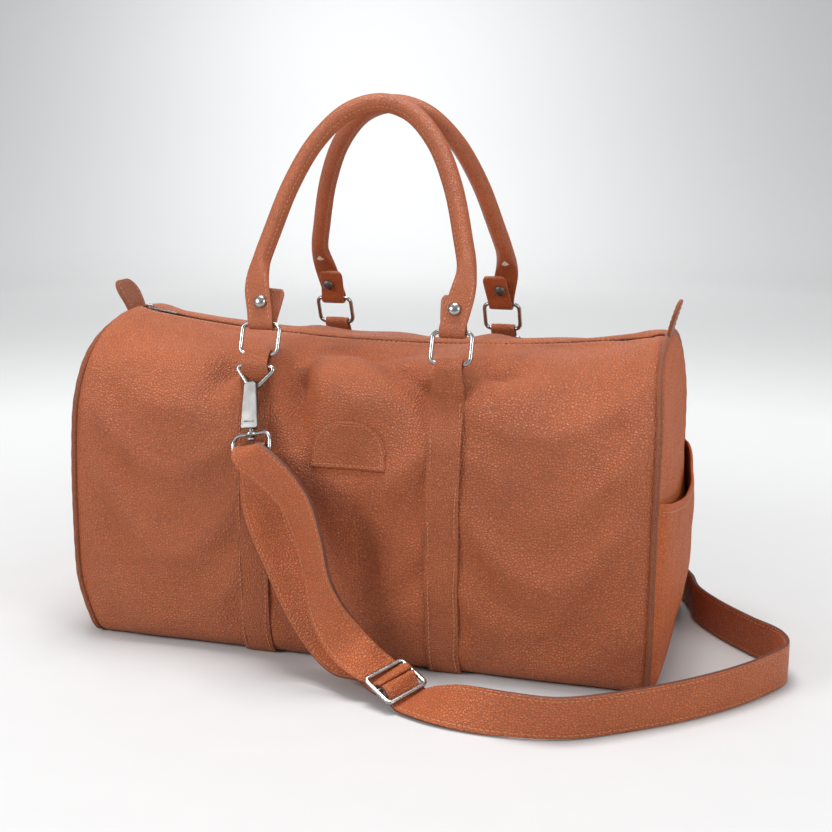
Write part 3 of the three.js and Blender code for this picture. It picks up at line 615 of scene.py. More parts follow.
def slump(rest, pin):
    """Sheet of leather let down under its own weight as cloth; returns how far each point moved."""
    trial = make("slump", *sheet(rest), HIDE, closed=False)
    group = trial.vertex_groups.new(name="pin")
    for k, weight in enumerate(pin.ravel()):
        group.add([k], float(weight), "REPLACE")
    cloth = trial.modifiers.new("cloth", "CLOTH")
    feel = {"quality": 6, "mass": 0.5, "tension_stiffness": 30, "compression_stiffness": 22,
            "shear_stiffness": 12, "bending_stiffness": 14, "shrink_min": -0.022, "vertex_group_mass": "pin",
            "pin_stiffness": 6, "use_pressure": True, "uniform_pressure_force": -0.25}
    for key, value in feel.items():
        setattr(cloth.settings, key, value)
    cloth.collision_settings.use_collision = False
    cloth.point_cache.frame_start, cloth.point_cache.frame_end = 1, SLUMP_STEPS
    scene = bpy.context.scene
    for step in range(1, SLUMP_STEPS + 1):
        scene.frame_set(step)
    shown = trial.evaluated_get(bpy.context.evaluated_depsgraph_get())
    moved = points_of(shown.data).reshape(rest.shape) - rest
    scene.frame_set(1)
    bpy.data.objects.remove(trial)
    size = np.linalg.norm(moved, axis=-1, keepdims=True)
    return moved * np.minimum(1, SLUMP_CAP / np.maximum(size, 1e-6))


def resample(grid, rows, cols):
    """Grid of vectors read at fractional row and column numbers."""
    i, j = (np.clip(at, 0, size - 1.001) for at, size in zip((rows, cols), grid.shape))
    i0, j0 = i.astype(int), j.astype(int)
    a, b = (i - i0)[..., None], (j - j0)[..., None]
    return ((1 - a) * (1 - b) * grid[i0, j0] + a * (1 - b) * grid[i0 + 1, j0]
            + (1 - a) * b * grid[i0, j0 + 1] + a * b * grid[i0 + 1, j0 + 1])


class Skin:
    """One side of the bag, from the base seam over the shoulder to the zip, as a grid of points."""

    def __init__(self, side, hollows, seed):
        self.side = side
        dense = np.linspace(0, ZIP_S, 400)
        run = arc_length(outline(0, dense)[0])
        self.xs = np.linspace(-PANEL_END, PANEL_END, 165)
        self.run = np.linspace(0, run[-1], 116)
        self.s = np.interp(self.run, run, dense)
        p = outline(self.xs, self.s)
        x, up = np.meshgrid(self.xs, self.run, indexing="ij")
        ends = ease((PANEL_END - abs(x)) / 22)
        rim = ends * ease(up / 30) * ease((run[-1] - up) / 14)
        normal = self.normals(p)
        depth = (rim * (hollow(x, up, hollows) + waves(x, up, seed, 1.1))
                 + SEAM_DIP * np.exp(-((PANEL_END - abs(x)) / 3.2) ** 2)
                 + ends * SEAM_DIP * np.exp(-((run[-1] - up) / 6.0) ** 2))
        if side < 0:
            depth += 3.6 * np.exp(-((x - 218) / 15) ** 2 - ((run[-1] - up) / 9.0) ** 2)
        p = p - depth[..., None] * normal
        p = p + self.settled(p)
        self.grid = squeeze(p)
        if side > 0:
            self.grid[..., 1] *= -1
        self.normal = self.normals(self.grid)

    def normals(self, p):
        n = unit(np.cross(np.gradient(p, axis=0), np.gradient(p, axis=1)))
        flip = np.sign((n[..., 1] * np.where(p[..., 1] == 0, 1, p[..., 1])).sum())
        return n * flip

    def settled(self, p):
        """Slump of the sheet: free between the seams, the zip, the bands and the rim."""
        coarse = p[::2, ::2]
        x, up = np.meshgrid(self.xs[::2], self.run[::2], indexing="ij")
        edge = np.minimum.reduce([(PANEL_END - abs(x)) / 30, up / 26, (self.run[-1] - up) / 20])
        band = np.exp(-((abs(x) - BAND_X) / 13) ** 4)
        moved = slump(coarse, np.maximum(np.maximum(1 - ease(edge), 0.55 * band), 0.08))
        for _ in range(2):
            moved[1:-1, 1:-1] = (moved[1:-1, 1:-1] * 2 + moved[:-2, 1:-1] + moved[2:, 1:-1]
                                 + moved[1:-1, :-2] + moved[1:-1, 2:]) / 6
        rows, cols = np.meshgrid(np.arange(p.shape[0]) / 2, np.arange(p.shape[1]) / 2, indexing="ij")
        return resample(moved, rows, cols)

    def at(self, x, s, lift=0.0):
        """Points on the skin, raised by lift along its normal, and the normals there."""
        x, s = np.broadcast_arrays(np.asarray(x, float), np.asarray(s, float))
        i = np.interp(x, self.xs, np.arange(len(self.xs)))
        j = np.interp(s, self.s, np.arange(len(self.s)))
        normal = unit(resample(self.normal, i, j))
        return resample(self.grid, i, j) + np.asarray(lift)[..., None] * normal, normal


def turned_edge(edge, tangent, normal):
    """Rows that fold a sheet's edge over: half a turn, then back under it."""
    radius = 1.2
    rows = []
    for a in np.linspace(0.2, 1, 6) * math.pi:
        rows.append(edge - radius * normal + radius * (math.cos(a) * normal + math.sin(a) * tangent))
    for step in (3, 7, 11):
        rows.append(edge - 2 * radius * normal - step * tangent)
    return rows


def mouth_weight(p):
    """Share of the mouth's turn: none at the zip's ends or below the shoulder, all of it in the middle."""
    lens = np.clip(1 - (abs(p[:, 0]) / LIP_HALF) ** 2.2, 0, 1)
    bent = ease((MOUTH_BEND_OUT - abs(p[:, 1])) / (MOUTH_BEND_OUT - MOUTH_BEND_IN))
    return lens * bent * (p[:, 2] > 200)


def bend_mouth(obj, side, slot, *nodes):
    start, end = ((0, side * y, MOUTH_BEND_Z) for y in (MOUTH_BEND_OUT, MOUTH_BEND_IN))
    bend(obj, f"mouth_{face_of(side)}", start, end, mouth_weight, slot, *nodes)


def add_skin(skin):
    name = face_of(skin.side)
    edge, normal = skin.grid[:, -1], skin.normal[:, -1]
    tangent = unit(edge - skin.grid[:, -3])
    rows = turned_edge(edge, tangent, normal)
    points = np.concatenate([skin.grid, np.stack(rows, 1)], 1)
    obj = make(f"skin_{name}", *sheet(points), HIDE, closed=False)
    bend_mouth(obj, skin.side, "leather", f"{name}_panel", f"mouth_flap_{name}")
    inside = (skin.grid - LINING_GAP * skin.normal)[2:-2, 2:-3]
    cloth = make(f"lining_{name}", *sheet(inside), LINING, closed=False)
    bend_mouth(cloth, skin.side, "lining", *(["lining"] if skin.side < 0 else []))


# ---------- stitches ----------

def stitch_row(points, normals, pitch=4.3, length=3.1, radius=0.42):
    """Short lengths of thread along a line on a surface."""
    points = np.asarray(points, float)
    normals = np.broadcast_to(np.asarray(normals, float), points.shape)
    run = arc_length(points)
    count = max(int(run[-1] / pitch), 1)
    at = (np.arange(count) + 0.5) * run[-1] / count
    centre = columns_at(at, run, points)
    along = unit(columns_at(at, run, np.gradient(points, axis=0)))
    normal = square_to(columns_at(at, run, normals), along)
    across = np.cross(along, normal)
    along = unit(along + 0.1 * across)
    a = round_angles(6)[:, None]
    rings = []
    for u, r, drop in ((-0.5, 0.45, 0.75), (-0.3, 1, 0.1), (0.3, 1, 0.1), (0.5, 0.45, 0.75)):
        ring = centre + (u * length) * along - radius * drop * normal
        rings.append(ring[:, None] + radius * r * (np.cos(a) * normal[:, None] + np.sin(a) * across[:, None]))
    return merge(*(tube(one) for one in np.stack(rings, 1)))


def sew(name, rows, body="bag"):
    piece(f"stitches_{name}", merge(*rows), THREAD, body, "leather")


def add_zip_edge_stitches(skin):
    p, n = skin.at(np.linspace(-236, 236, 240), 9.86, 0.15)
    obj = make(f"stitches_zip_{face_of(skin.side)}", *stitch_row(p, n), THREAD)
    bend_mouth(obj, skin.side, "leather")


# ---------- ends ----------

def end_section(s, inset):
    return outline(HALF_LENGTH, s, inset)[0]


def half_width(z):
    rim = end_section(np.linspace(0.3, 9.5, 120), POCKET_INSET)
    return -np.interp(z, rim[:, 2], rim[:, 1])


def dome(u, z):
    swell = END_DOME * np.sin(math.pi * np.clip(z / 270, 0, 1)) + 6 * np.exp(-((z - 66) / 52) ** 2)
    return (1 - u * u) * swell


def placed_end(points, sign):
    """Points of the right end, or mirrored to the left."""
    return squeeze(points, sign < 0) * (sign, 1, 1)


def add_end(sign):
    name = hand_of(sign)
    s = np.linspace(0.02, ZIP_S, 110)
    rim = end_section(s, END_INSET)
    u, _ = np.meshgrid(np.linspace(-1, 1, 61), s)
    y = -rim[:, 1:2] * u
    z = np.broadcast_to(rim[:, 2:], u.shape)
    near = np.minimum(abs(rim[:, 1:2]) * (1 - abs(u)), zip_height(HALF_LENGTH) - z)
    uneven = waves(y, z, 11 + sign, 1.0) - 4.5 * np.exp(-((z - 205) / 34) ** 2) * (1 - u * u)
    x = HALF_LENGTH + dome(u, z) - 2.4 * np.exp(-(near / 4.5) ** 2) + ease(near / 25) * uneven
    points = placed_end(np.stack([x, y, z], -1), sign)
    piece(f"end_{name}", sheet(points), END_HIDE_PAINTED_LIGHT, "bag", "leather", f"end_panel_{name}", closed=False)
    inner = (points - (sign * END_LINING_GAP, 0, 0))[3:-3, 2:-2]
    piece(f"lining_end_{name}", sheet(inner), LINING, "bag", "lining", closed=False)


def pocket_point(u, t, offset):
    mouth = POCKET_MOUTH_Z - POCKET_DIP * (1 - u * u)
    z = 7 + t * (mouth - 7)
    slack = POCKET_SLACK * (1 - u * u) * np.clip(t, 0, 1) ** 1.5
    y = half_width(z) * u
    near = half_width(z) * (1 - abs(u))
    x = HALF_LENGTH + dome(u, z) + GAP + slack + offset - 3.3 * np.exp(-(near / 5) ** 2)
    x = x + ease(near / 22) * ease(t * 3) * waves(y, z, 23, 1.2, 40, 110)
    return np.stack([x, y, z], -1)


def add_pocket(sign):
    name = hand_of(sign)
    u = np.linspace(-1, 1, 65)
    thick = 2.4
    rows = [pocket_point(u, t, 0.2) for t in np.linspace(0.62, 1, 14)]
    for a in np.linspace(0.1, 0.9, 5) * math.pi:
        p = pocket_point(u, 1.0, thick / 2 + 0.1 - math.cos(a) * (thick / 2 + 0.1))
        p[:, 2] += 1.5 * math.sin(a)
        rows.append(p)
    for t in np.linspace(1, 0, 60):
        rows.append(pocket_point(u, t, thick + 0.35 * math.exp(-((1 - t) * 150 / 4.0) ** 2)))
    points = placed_end(np.stack(rows), sign)
    piece(f"pocket_{name}", sheet(points), END_HIDE_PAINTED_LIGHT, "bag", "leather", f"end_pocket_{name}", closed=False)
    line = placed_end(pocket_point(np.linspace(-0.97, 0.97, 120), 0.966, thick + 0.25), sign)
    sew(f"pocket_{name}", [stitch_row(line, X_AXIS * sign)])


def add_piping(sign):
    name = hand_of(sign)
    s = np.linspace(0.02, ZIP_S, 150)
    front = outline(PIPING_X, s, 2.0)[0]
    back = front[::-1] * (1, -1, 1)
    across = np.linspace(back[-1, 1], front[0, 1], 42)[1:-1]
    base = np.c_[0 * across + PIPING_X, across, 0 * across + front[0, 2]]
    path = placed_end(np.vstack([front, back, base]), sign)
    path[:, 2] = np.maximum(path[:, 2], PIPING_LOW)
    swell = PIPING_RADIUS + 0.12 * np.sin(arc_length(path) / 2.4)
    cord = sweep(path, X_AXIS, circle(1.0, 12)[None] * swell[:, None, None], True)
    piece(f"piping_round_{name}", cord, PIPING, "bag", "piping", f"piping_{name}")


def add_tab(sign):
    name = hand_of(sign)
    a = np.linspace(-1, 1, 41)[1:-1]
    high, wide = 31.0, 18.0
    rise = high * (a + 1) / 2
    half = wide * (1 - abs(a) ** 2.6) ** (1 / 2.6)
    width = np.where(rise < 14, np.interp(rise, [0, 14], [15.5, 17.8]), half)
    y = width[:, None] * np.linspace(-1, 1, 31)
    z = np.broadcast_to(rise[:, None], y.shape)
    near = np.minimum(width[:, None] - abs(y), high - z)
    puff = 3.2 * np.sqrt(np.clip(near / 1.6, 0.02, 1)) - 0.35 * np.exp(-((near - 3.2) / 0.9) ** 2)
    lean, lift, curl = (22, 0.6, 0.0042) if sign < 0 else (13, -3.0, 0.0015)

    def placed(x):
        p = turn(np.stack([x + curl * z ** 2, y, z], -1), lean, 1)
        return placed_end(p + (HALF_LENGTH - 4, 0, float(zip_height(HALF_LENGTH)) + lift), sign)

    outer, inner = placed(1.7 + puff / 2), placed(1.7 - puff / 2)
    piece(f"tab_{name}", two_faces(outer, inner), TAB, "bag", "leather", f"zip_tab_{name}")
    rows = []
    for face, normal in ((outer, X_AXIS * sign), (inner, -X_AXIS * sign)):
        line = np.vstack([face[2:-4, 4], face[-4, 5:-5], face[2:-4, -5][::-1]])
        rows.append(stitch_row(line, normal))
    sew(f"tab_{name}", rows)


def add_base():
    x, y = np.meshgrid(np.linspace(-241, 241, 90), np.linspace(-95, 95, 50), indexing="ij")
    edge = np.minimum(95 - abs(y), 241 - abs(x))
    z = 0.5 + 1.6 * np.exp(-(edge / 3) ** 2) + 0.35 * (1 + np.sin(x / 31) * np.cos(y / 27)) * ease(edge / 20)
    points = squeeze(np.stack([x, y, z], -1))
    piece("base_skin", sheet(points), HIDE, "bag", "leather", "base_panel", closed=False)
    rows = []
    for side in (-1, 1):
        line = np.stack([np.linspace(-228, 228, 200), np.full(200, side * 89.0), np.full(200, 0.4)], 1)
        rows.append(stitch_row(line, -Z_AXIS))
    sew("base", rows)


# ---------- zip ----------

def add_tape(side):
    name = face_of(side)
    x = np.linspace(-238, 238, 160)
    across = np.array([1.1, 2.4, 3.4, 4.6, 6, 9, 13])
    rise = np.array([-0.1, 0.15, 0.25, 0.05, -0.1, -0.2, -0.4])
    z = zip_height(x)[:, None] + TAPE_TOP + rise
    top = np.stack(np.broadcast_arrays(x[:, None], side * across, z), -1)
    ring = np.concatenate([top, top[:, ::-1] - (0, 0, 0.8)], 1)
    faces = grid_faces(*ring.shape[:2], False, True)
    obj = make(f"tape_{name}", squeeze(ring), faces, TAPE)
    bend_mouth(obj, side, "zip_tape", f"zip_tape_{name}", f"zip_end_{hand_of(side)}")


def tooth():
    """One metal tooth along Y: a clamp on the tape's bead, and a nose that meets the other side."""
    side = [(-3.4, 0.55), (-2.2, 0.62), (-1.2, 0.42), (-0.2, 0.6), (0.7, 0.42), (0.9, 0.2)]
    shape = side + [(y, -w) for y, w in side[::-1]]
    points, faces = slab([(w, y) for y, w in shape], -0.95, 0.95)
    nose = np.clip((points[:, 1] + 0.4) / 1.4, 0, 1)
    points[:, 2] *= 1 - 0.35 * nose
    return points, faces


def add_teeth(side):
    pitch = 2.5
    xs = np.arange(-216, 237, pitch) + (pitch / 2 if side > 0 else 0)
    p, f = tooth()
    row = [(p * (1, -side, 1) + (x, 0, float(zip_height(x)) + TAPE_TOP + 0.2), f) for x in xs]
    obj = make(f"teeth_{face_of(side)}", *merge(*row), NICKEL)
    for polygon in obj.data.polygons:
        polygon.use_smooth = False
    bend_mouth(obj, side, "nickel", f"zip_teeth_{face_of(side)}")


def on_zip(p):
    """Points worked out at the zip's lowest place, moved to where the slider stands."""
    slope = -math.degrees(math.asin((SLIDER_X - ZIP_LOW_X) / ZIP_RADIUS))
    return turn(p, slope, 1) + (SLIDER_X, 0, float(zip_height(SLIDER_X)))


def add_slider():
    a = round_angles(28)
    wide = (3.4 + 0.8 * np.cos(a)) * np.sign(np.sin(a)) * abs(np.sin(a)) ** 0.6
    body = np.stack([6.5 * np.cos(a), wide], 1)
    neck = slab([(-6, -0.5), (-3, -0.5), (-3, 0.5), (-6, 0.5)], -7, -2.4)
    arch = spline([(-4.6, 0, -2.4), (-4.4, 0, 0.4), (-2.6, 0, 2), (0.6, 0, 2.1), (2.9, 0, 0.8),
                   (3.6, 0, -2.4)], np.linspace(0, 5, 24))
    bail = sweep(arch, Y_AXIS, rounded(1.1, 0.6, 4, 12))
    mesh = merge(slab(body, -3.6, -2.2), slab(body, -7.6, -6.2), neck, bail)
    harden(piece("slider", move_mesh(mesh, on_zip), NICKEL, "zip_slider", "nickel", "zip_slider"), 0.35)


def add_pull():
    """Slim pull lying on the zip, with a slot for the slider's bail."""
    long, wide, tip = 25.0, 3.0, 2.3
    left = [(-math.sin(t) * wide, math.cos(t) * wide) for t in np.linspace(0, math.pi, 12)]
    right = [(long + math.sin(t) * tip, -math.cos(t) * tip) for t in np.linspace(0, math.pi, 10)]
    rim = np.array(left + [(8, -2.1), (14, -1.9)] + right + [(14, 1.9), (8, 2.1)])
    eye = np.array([(5.4, 1.5), (-0.6, 1.5), (-0.6, -1.5), (5.4, -1.5)])
    hole = np.array([eye[np.argmin(np.linalg.norm(eye - p, axis=1))] for p in rim])
    n = len(rim)
    points = np.vstack([np.c_[edge, np.full(n, h)] for edge in (rim, hole) for h in (-1.1, 0)])
    faces = []
    for k in range(n):
        m = (k + 1) % n
        faces += [[k, m, n + m, n + k], [2 * n + m, 2 * n + k, 3 * n + k, 3 * n + m],
                  [m, k, 2 * n + k, 2 * n + m], [n + k, n + m, 3 * n + m, 3 * n + k]]
    pull = piece("pull", (on_zip(points), faces), NICKEL, "zip_pull", "nickel", "zip_pull")
    mend(pull.data, weld=True)
    harden(pull, 0.3)


# ---------- bands, patch, rings ----------

def strap_section(width, thick):
    """Outline of a sewn two-layer strap: rounded edges, the joint between the layers, stitch channels."""
    a, b = width / 2, thick / 2
    channel = a - SEAM_INSET
    top = [(a - 0.35, 0.0), (a, 0.18 * b), (a, 0.55 * b), (a - 0.35, 0.9 * b), (a - 0.9, b),
           (channel + 1.0, b + 0.05), (channel, b - 0.18), (channel - 1.0, b + 0.05),
           (a * 0.5, b + 0.16), (0, b + 0.22)]
    top += [(-x, y) for x, y in top[-2::-1]]
    return np.array(top + [(x, -y) for x, y in top[-2:0:-1]])


def paint_edges(obj, columns, count):
    """Gives the strap's cut edges their paint: the faces that lie between the given section points."""
    obj.data.materials.append(EDGE)
    for polygon in obj.data.polygons:
        if len(polygon.vertices) == 4 and {v % count for v in polygon.vertices} <= columns:
            polygon.material_index = 1


def band_path(skin, sx, two_rings):
    """Up the side of the bag, and then round the ring's bar and back down behind it."""
    mid = WIRE + GAP + 0.2 + LOOP_THICK / 2
    top = RING_PIVOT
    bottom = STRAP_RING if two_rings else top + (0, -2.5, -4.5)
    half_way = (bottom + top) / 2
    down = unit(bottom - top)
    out = np.cross(down, X_AXIS) * mid
    x = sx * BAND_X
    run, _ = skin.at(x, np.linspace(0.35, 6.55, 90), GAP + BAND_THICK / 2)
    around = [top - mid * math.cos(a) * down + math.sin(a) * out for a in np.radians(np.linspace(90, -90, 9))]
    loop = np.array([bottom + out * 0.95, half_way + out * 1.05, *around, half_way - out * 1.02,
                     bottom - out * 0.9]) * (1, -skin.side, 1) + (x, 0, 0)
    tail, _ = skin.at([x], [6.75], 1.6)
    joint = run[-1] * 0.45 + loop[0] * 0.55 + (0, skin.side * 0.8, 0)
    return run, np.vstack([[run[-1]], [joint], loop, tail])


def above_floor(points, faces):
    points[:, 2] = np.maximum(points[:, 2], FLOOR_GAP)
    return points, faces


def add_band(skin, sx, two_rings):
    name = f"{face_of(skin.side)}_{hand_of(sx)}"
    run, loop = band_path(skin, sx, two_rings)
    fine = spline(loop, np.linspace(0, len(loop) - 1, 110))[1:]
    share = np.concatenate([0 * run[:, 0], ease(np.arange(len(fine)) / 16)])
    section = np.array([strap_section(BAND_WIDTH + (LOOP_WIDTH - BAND_WIDTH) * k,
                                      BAND_THICK + (LOOP_THICK - BAND_THICK) * k) for k in share])
    band = above_floor(*sweep(np.vstack([run, fine]), X_AXIS, section))
    piece(f"band_sewn_{name}", band, TRIM, "bag", "leather", f"band_{name}")
    rows = []
    for offset in (-1, 1):
        x = sx * BAND_X + offset * (BAND_WIDTH / 2 - SEAM_INSET)
        rows.append(stitch_row(*skin.at(x, np.linspace(0.5, 6.5, 160), GAP + BAND_THICK)))
    out = unit([0, skin.side, 0.25])
    foot = (run[-1] + loop[1]) / 2 + out * (BAND_THICK / 2 + 0.15)
    line = foot + np.linspace(-8.5, 8.5, 20)[:, None] * X_AXIS
    rows.append(stitch_row(line, out))
    piece(f"stitches_band_{name}", above_floor(*merge(*rows)), THREAD, "bag", "leather")


def add_patch(skin):
    """Half-moon patch with a turned edge and one sewn line inside it."""
    left, right, low, high = -31.0, 32.0, 165.0, 204.0
    middle, half = (left + right) / 2, (right - left) / 2
    z_of = np.array([skin.at(middle, s)[0][2] for s in skin.s])
    count = 46
    t = np.linspace(0, 1, count)
    rise = low + (high - low) * t
    reach = half * np.where(t < 0.34, 1 - 0.045 * t, 1)
    arch = np.sqrt(np.clip(1 - ((t - 0.30) / 0.70).clip(0) ** 2.1, 0.0, 1))
    reach = reach * np.maximum(arch, 0.02)
    u = np.linspace(-1, 1, 61)
    x = middle + reach[:, None] * u
    s = np.interp(rise, z_of, skin.s)[:, None] + 0 * x
    near = np.minimum(reach[:, None] * (1 - abs(u)), np.minimum(rise - low, (high - rise) * 0.9)[:, None])
    lift = GAP + 1.7 * np.sqrt(np.clip(near / 1.1, 0.0, 1)) - 0.35 * np.exp(-((near - 3.4) / 0.7) ** 2)
    patch = two_faces(skin.at(x, s, lift)[0], skin.at(x, s, 0.1)[0])
    piece("patch", patch, TRIM, "bag", "leather", "front_patch")
    arcs = np.linspace(0, count - 1, 100)
    edge_x = np.interp(arcs, np.arange(count), np.maximum(reach - HEM_INSET, 0.0))
    edge_z = np.interp(arcs, np.arange(count), np.clip(rise, low + HEM_INSET, high - HEM_INSET))
    arch_x = np.concatenate([middle - edge_x, middle + edge_x[::-1]])
    foot_x = np.linspace(left + HEM_INSET, right - HEM_INSET, 40)
    rows = []
    for line_x, line_z in ((arch_x, np.concatenate([edge_z, edge_z[::-1]])), (foot_x, low + HEM_INSET)):
        p, n = skin.at(line_x, np.interp(line_z, z_of, skin.s), GAP + 1.45)
        rows.append(stitch_row(p, n, 3.4, 2.5, 0.34))
    sew("patch", rows)


def bend_points(cx, cz, radius, start, stop, steps=8):
    angles = np.radians(np.linspace(start, stop, steps))
    return [(cx + radius * math.cos(a), 0, cz + radius * math.sin(a)) for a in angles]


def rounded_frame(half, height, top_corner, low_corner):
    path = []
    corners = ((1, top_corner), (-1, top_corner), (-1, low_corner), (1, low_corner))
    for quarter, (way, corner) in enumerate(corners):
        level = height - corner if quarter < 2 else corner
        path += bend_points(way * (half - corner), level, corner, 90 * quarter, 90 * quarter + 90)
    return np.array(path)


def closed_even(path, spacing):
    loop = np.vstack([path, path[:1]])
    run = arc_length(loop)
    return columns_at(np.linspace(0, run[-1], max(int(run[-1] / spacing), 8), endpoint=False), run, loop)


def add_ring(side, sx):
    name = f"{face_of(side)}_{hand_of(sx)}"
    path = closed_even(rounded_frame(RING_HALF_WIDTH, RING_HEIGHT, RING_CORNER, RING_CORNER), 1.1)
    p, f = sweep(path, Y_AXIS, circle(WIRE, 14), True)
    p = (turn(p, -HANDLE_LEAN, 0) + RING_PIVOT) * (1, -side, 1) + (sx * BAND_X, 0, 0)
    piece(f"ring_wire_{name}", (p, f), NICKEL, f"ring_{name}", "nickel", f"handle_ring_{name}")


# ---------- handles ----------

def tilt(p, side):
    """Handle frame (x, out of its plane, up the handle) to the bag's."""
    return (turn(p + (0, 0, RING_HEIGHT), -HANDLE_LEAN, 0) + RING_PIVOT) * (1, -side, 1)


def handle_route():
    """Right half of the handle's middle, from the riveted tail round the ring's bar to the crown."""
    r = WIRE + 2 * GAP + 1.2
    tail = [(76.6, 7.2, 31), (77, 6.2, 24), (78, 4.6, 14), (79.3, r, 5)]
    fold = [(80, r * math.cos(a), -r * math.sin(a)) for a in np.radians([0, 45, 90, 135, 180])]
    rise = [(80.7, -r, 5), (82.6, -4.2, 14), (84.8, -5.0, 24), (86.4, -4.6, 33), (87.2, -2.6, 43),
            (86.6, -0.6, 54)]
    arch = [(81.5, 0, 75), (69, 0, 118), (51, 0, 155), (27, 0, 180), (0, 0, 188)]
    return tail + fold + rise + arch


def handle_path():
    right = np.array(handle_route(), float)
    whole = np.vstack([right, right[-2::-1] * (-1, 1, 1)])
    path, = even(whole, 2.2)
    along = unit(np.gradient(path, axis=0))
    run = arc_length(path)
    flat = np.minimum(run, run[-1] - run)
    arch = np.stack([along[:, 2], 0 * run, -along[:, 0]], 1)
    ends = np.where(path[:, :1] > 0, X_AXIS, -X_AXIS)
    share = ease((flat - 62) / 20)[:, None]
    return path, unit(arch * share + ends * (1 - share)), flat


def handle_sections(flat):
    """Flat where the handle folds round the ring, swelling into a rolled tube with a sewn ridge."""
    rows = []
    for d in flat:
        roll = float(ease((d - 66) / 34))
        a = 10.6 + (HANDLE_RADIUS - 10.6) * roll
        b = 1.25 + (HANDLE_RADIUS - 1.25) * roll
        if d < 3:
            a -= 2.2 * (1 - d / 3)
        shape = rounded(a, b, 5.5 - 3.4 * roll, 36)
        shape[:, 0] -= 1.7 * roll * np.exp(-((round_angles(36) - math.pi) / 0.26) ** 2)
        rows.append(shape)
    return np.array(rows)


def add_handle(side):
    name = f"handle_{face_of(side)}"
    path, across, flat = handle_path()
    roll = sweep(path, across, handle_sections(flat))
    piece(f"handle_roll_{face_of(side)}", move_mesh(roll, tilt, side), ROLLED, name, "leather", name)
    out = np.cross(unit(np.gradient(path, axis=0)), across)
    roll = ease((flat - 66) / 34)[:, None]
    rows = []

    def add_row(line, normal, spots):
        rows.append(stitch_row(line[spots], normal[spots], 4.0, 2.9, 0.4))

    for way in (-1, 1):
        add_row(path - 5.7 * across + way * 4.15 * out, unit(-0.45 * across + way * out), flat > 96)
    for hand in (1, -1):
        spots = (flat > 46) & (flat < 84) & (path[:, 0] * hand > 0)
        for way in (-1, 1):
            add_row(path + way * (7.9 - 1.6 * roll) * across - (1.35 + 4.0 * roll) * out, -out, spots)
    sew(name, [move_mesh(merge(*rows), tilt, side)], name)


def add_rivets(side):
    face = face_of(side)
    outer = [(1.5, -6.0), (4.5, -6.1), (5.0, -6.5), (5.1, -7.0), (4.9, -7.5), (4.1, -8.4), (2.9, -9.1),
             (1.5, -9.4), (0.01, -9.5)]
    cap = [(1.5, 6.9), (4.5, 6.9), (4.9, 7.3), (4.9, 7.8), (4.0, 8.7), (2.4, 9.4), (0.01, 9.6)]
    for sx in (-1, 1):
        for kind, profile, metal in (("rivet", outer, NICKEL), ("rivet_cap", cap, DARK_METAL)):
            p, f = lathe(profile)
            p = tilt(p[:, [0, 2, 1]] + (sx * RIVET_X, 0, RIVET_H), side)
            name = f"{face}_{hand_of(sx)}"
            piece(f"{kind}_dome_{name}", (p, f), metal, f"handle_{face}", "nickel", f"{kind}_{name}")


# ---------- strap ring and snap hook ----------

def hang(p, side):
    """Clip frame to bag frame: hung from the strap ring's bar."""
    return (turn(p, -CLIP_HANG, 0) + STRAP_RING + (-CLIP_X, 0, 0)) * (-side, -side, 1)


def seat(p):
    return turn(p, -CLIP_SWAY, 1) + (0, 0, -STRAP_RING_DROP - HOOK_SEAT)


def add_seated(name, mesh, metal, body, side, node=None, edges=None):
    """Piece of the clip at one side, with its edges rounded by (width, segments) if given."""
    face = face_of(side)
    nodes = [f"{node}_{face}"] if node else []
    hung = move_mesh(move_mesh(mesh, seat), hang, side)
    obj = piece(f"{name}_{face}", hung, metal, f"{body}_{face}", "nickel", *nodes)
    if edges:
        harden(obj, *edges)


def turned(profile, z):
    p, f = lathe(profile)
    return p + (0, -1, z), f


def side_view(outline_yz, half):
    """Side view (y, z) given a width along x."""
    p, f = slab(outline_yz, -half, half)
    return p[:, [2, 0, 1]], f


def front_view(outline_xz, low, high):
    """Front view (x, z) given a thickness towards the front."""
    p, f = slab(outline_xz, low, high)
    return p[:, [0, 2, 1]] * (1, -1, 1), f


def hook_claw():
    """Crown over the strap ring, its back fork and the block that carries the gate."""
    outer = [(6.0 * math.cos(a), 6.0 * math.sin(a)) for a in np.linspace(-0.2, math.pi, 18)]
    inner = [(3.8 * math.cos(a), 3.8 * math.sin(a)) for a in np.linspace(math.pi, -0.2, 16)]
    crown = outer + [(-6.3, -14), (-3.8, -14)] + inner
    block = [(-6.3, -12.5), (-6.6, -34), (4.2, -34), (4.2, -20.8), (-3.8, -20.8), (-3.8, -12.5)]
    return merge(side_view(crown, 1.9), side_view(block, 3.0))


def hook_plate():
    """Tapered front plate with a rounded top; the slot near its foot is a dark sheet laid on it by add_hook,
    as painted shade.
    """
    top = [(5.2 * math.sin(a), 1.0 + 2.6 * math.cos(a)) for a in np.linspace(-math.pi / 2, math.pi / 2, 14)]
    shape = top + [(7.3, -33), (6.2, -34.4), (-6.2, -34.4), (-7.3, -33)]
    return front_view(shape, 4.4, 7.0)


